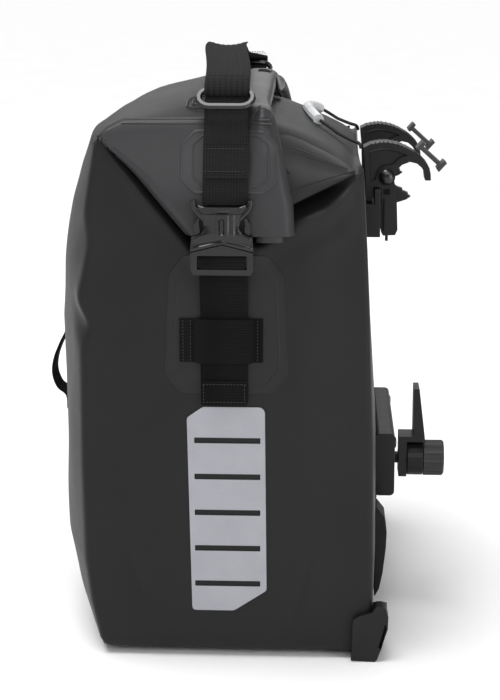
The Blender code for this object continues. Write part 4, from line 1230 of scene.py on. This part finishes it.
# (Z, half width) of the buckle's face, and (X from the middle, Z) of a horn
FACE_HALF = ((260.5, 18.5), (266, 18.3), (268.6, 17.9), (270.4, 15.4), (272, 12.6), (274, 10.9),
             (276.5, 10.1), (279.5, 10.4), (283.2, 12.4))
HORN = ((10.9, 281.0), (13.2, 283.2), (15.6, 286.0), (16.9, 289.0), (16.9, 291.6))


def face_row(side, t):
    """One row of the buckle's face; t runs from its lower edge to its upper one."""
    u = np.linspace(-1, 1, 61)
    foot = FACE_ARCH * (1 - np.abs(u))
    z = (FACE_FOOT + foot) * (1 - t) + FACE_TOP * t
    x = u * table(FACE_HALF, z)
    crown = (0.7 + 1.3 * ease(266, 272, z)) * np.sqrt(np.clip(1 - np.abs(u) ** 3, 0, 1))
    flute = 0.55 * ease(267, 271, z) * (hump(np.abs(x), 4.6, 0.9) + hump(np.abs(x), 8.2, 0.8))
    slot = 1.5 * (1 - ease(1.0, 1.7, np.abs(x))) * ease(270.5, 272, z) * (1 - ease(279.5, 281, z))
    lip = 0.9 * hump(z, 262.6 + foot, 0.7) * (1 - np.abs(u) ** 8)
    out = BUCKLE_Y + 4.3 + crown - flute - slot + lip
    return np.stack([BUCKLE_X + x, side * out, z], axis=1)


def buckle_faces():
    """Shell of the buckle's upper half, with its flutes, lip, horns and the bar between them."""
    for end, side in ENDS:
        rows = [face_row(side, t) for t in np.linspace(0, 1, 48)]
        parts = [sheet_data(rows, 1.4, (0, side, 0))]
        for hand in (-1, 1):
            path = [(BUCKLE_X + hand * x, side * (BUCKLE_Y + 3.7), z) for x, z in HORN]
            line = curve_points(path, 0.8)
            parts.append(tube_data(line, np.linspace(1.7, 1.6, len(line)), 12))
        bar = []
        for x in np.linspace(-14, 14, 25):
            bow = 0.012 * x * x
            bar.append((BUCKLE_X + x, side * (BUCKLE_Y + 3.2 - bow), 284.6 + bow))
        parts.append(tube_data(bar, 1.7, 10))
        piece(f"buckle_face_{end}", join(parts), SATIN, "bag", "black_plastic", sharp=45)


# (X, Z) of the ribbed arc on top of a hook and of the rim round its recess
ARC_TOP = ((88.6, 314.8), (94.3, 315.9), (99.4, 316.0), (105.8, 314.8), (111.0, 312.7))
HOOK_PANEL = ((88.0, 309.6), (93.5, 311.4), (99.6, 311.7), (105.6, 310.4), (112.0, 307.6),
              (107.0, 305.6), (102.6, 301.6), (97.0, 300.4), (93.2, 297.0), (92.2, 292.5), (89.4, 290.8))
JAW_PIN_X, JAW_PIN_Z, WASHER_RADIUS = 98.8, 294.0, 5.3
# (first X, last X, first Z, last Z) of the pockets in a hook's side, drawn as near-black plates: painted
# shade
POCKETS = ((96.9, 101.3, 282.6, 286.2), (96.6, 98.0, 259.0, 280.0))


def hook_details():
    """Ribs over each hook's arc, its recess's rim, the pin's washer, the pockets' painted shade and cord
    stub.
    """
    for end, _ in ENDS:
        body = f"{end}_hook"
        low, high = box_mm(f"hook_body_{end}")
        middle = (low[1] + high[1]) / 2
        half = (high[1] - low[1]) / 2
        faces = [(face, middle + face * half) for face in (-1, 1)]
        parts = []
        for x, z in curve_points(ARC_TOP, 2.3):
            path = [(x, middle + v, z - 0.2) for v in np.linspace(-half + 0.8, half - 0.8, 4)]
            parts.append(tube_data(path, 0.5, 8))
        rim = curve_points(HOOK_PANEL + HOOK_PANEL[:1], 1.6)
        turns = np.linspace(0, 2 * math.pi, 41)
        for face, y in faces:
            parts.append(tube_data([(x, y - face * 0.1, z) for x, z in rim], 0.42, 8))
            xs = JAW_PIN_X + WASHER_RADIUS * np.cos(turns)
            zs = JAW_PIN_Z + WASHER_RADIUS * np.sin(turns)
            parts.append(tube_data([(x, y, z) for x, z in zip(xs, zs)], 0.4, 8))
        parts.append(tube_data([(99.8, middle, z) for z in (257.0, 254.0, 251.2)], 1.0, 10))
        piece(f"hook_ribs_{end}", join(parts), PLASTIC, body, "black_plastic", sharp=45)
        # near-black plates set into each side stand in for the pockets' shade: painted shade
        pockets = []
        for x0, x1, z0, z1 in POCKETS:
            outline = rounded([(x0, z0), (x1, z0), (x1, z1), (x0, z1)], 0.5, 3)
            for face, y in faces:
                depths = sorted((y - face * 0.5, y + face * 0.12))
                pockets.append(ring_data([[(x, v, z) for x, z in outline] for v in depths]))
        piece(f"hook_pocket_shade_{end}", join(pockets), SHADOW, body, "black_plastic")


# (X, Z, half spacing) of the screws in the top and the lower rail, and a head's (height, radius)
SCREWS = ((95.2, 266.0, 16.0), (108.0, 113.0, 57.0))
SCREW_HEAD = ((-0.6, 4.0), (0.2, 4.0), (0.9, 3.2), (1.2, 1.8), (0.5, 1.6), (0.4, 0.2))


def rail_screws():
    """Heads of the screws that fix the two rails to the back of the bag."""
    turn = 2 * np.pi * np.arange(24) / 24
    parts = []
    for x, z, half in SCREWS:
        for y in (-half, half):
            rings = []
            for along, radius in SCREW_HEAD:
                ring = (np.full(24, x + along), y + radius * np.cos(turn), z + radius * np.sin(turn))
                rings.append(np.stack(ring, axis=1))
            parts.append(ring_data(rings))
    piece("rail_screws", join(parts), SATIN, "bag", "black_plastic")


# ---------------------------------------------------------------- stage
def stage():
    """A pale floor that fills the view."""
    low, _ = CAD_BOX
    half = 30.0
    grid = [(x, y, low[2]) for y in (-half, half) for x in (-half, half)]
    mesh = bpy.data.meshes.new("floor")
    mesh.from_pydata(grid, [], [(0, 1, 3, 2)])
    mesh.materials.append(floor_material())
    floor = bpy.data.objects.new("floor", mesh)
    bpy.context.scene.collection.objects.link(floor)


def aim_lamp(name, data, place, target):
    """A lamp at a place in metres, turned to its target."""
    lamp = bpy.data.objects.new(name, data)
    lamp.location = place
    lamp.rotation_euler = (Vector(target) - Vector(place)).to_track_quat("-Z", "Y").to_euler()
    bpy.context.scene.collection.objects.link(lamp)


def softbox(name, place, size, power):
    """A rectangular lamp that points at the bag; its size is in metres, its power in watts."""
    data = bpy.data.lights.new(name, "AREA")
    data.shape = "RECTANGLE"
    data.size, data.size_y = size
    data.energy = power
    aim_lamp(name, data, place, (0.0, 0.0, 0.2))


def sky(strength):
    """Even white room light."""
    world = bpy.data.worlds.new("studio")
    world.use_nodes = True
    back = world.node_tree.nodes["Background"]
    back.inputs["Color"].default_value = (1.0, 1.0, 1.0, 1.0)
    back.inputs["Strength"].default_value = strength
    bpy.context.scene.world = world


def lights():
    overhead = bpy.data.lights.new("overhead", "SUN")
    overhead.energy = 2.9
    overhead.angle = math.radians(40)
    aim_lamp("overhead", overhead, (-0.35, -0.1, 1.6), (0.0, 0.0, 0.0))
    softbox("softbox_back", (-0.2, 1.5, 1.1), (1.6, 0.9), 6)
    softbox("softbox_front", (0.3, -2.2, 1.35), (1.5, 0.9), 15)
    softbox("softbox_right", (1.0, -1.0, 0.5), (0.35, 1.0), 5)
    softbox("softbox_left", (-1.2, -1.2, 0.9), (0.6, 0.8), 1.5)
    sky(0.27)
    bpy.context.scene.view_settings.view_transform = "Standard"


def camera():
    """The photograph's viewpoint, solved from the bag's own edges."""
    data = bpy.data.cameras.new("camera")
    data.lens = 88.56
    data.sensor_width = 36.0
    data.clip_start = 0.05
    cam = bpy.data.objects.new("camera", data)
    cam.location = (0.062, -1.176, 0.428)
    forward = Vector((-0.0447, 0.9745, -0.2198))
    cam.rotation_euler = forward.to_track_quat("-Z", "Y").to_euler()
    bpy.context.scene.collection.objects.link(cam)
    bpy.context.scene.camera = cam


def build():
    """Everything in the scene."""
    camera()
    lights()
    stage()
    shell()
    ears()
    rear_folds()
    roll()
    roll_tab()
    patches()
    reflectors()
    handle()
    ear_straps()
    side_straps()
    strap_wraps()
    keepers()
    light_loop()
    hard_parts()
    release_cords()
    buckle_faces()
    hook_details()
    rail_screws()


build()
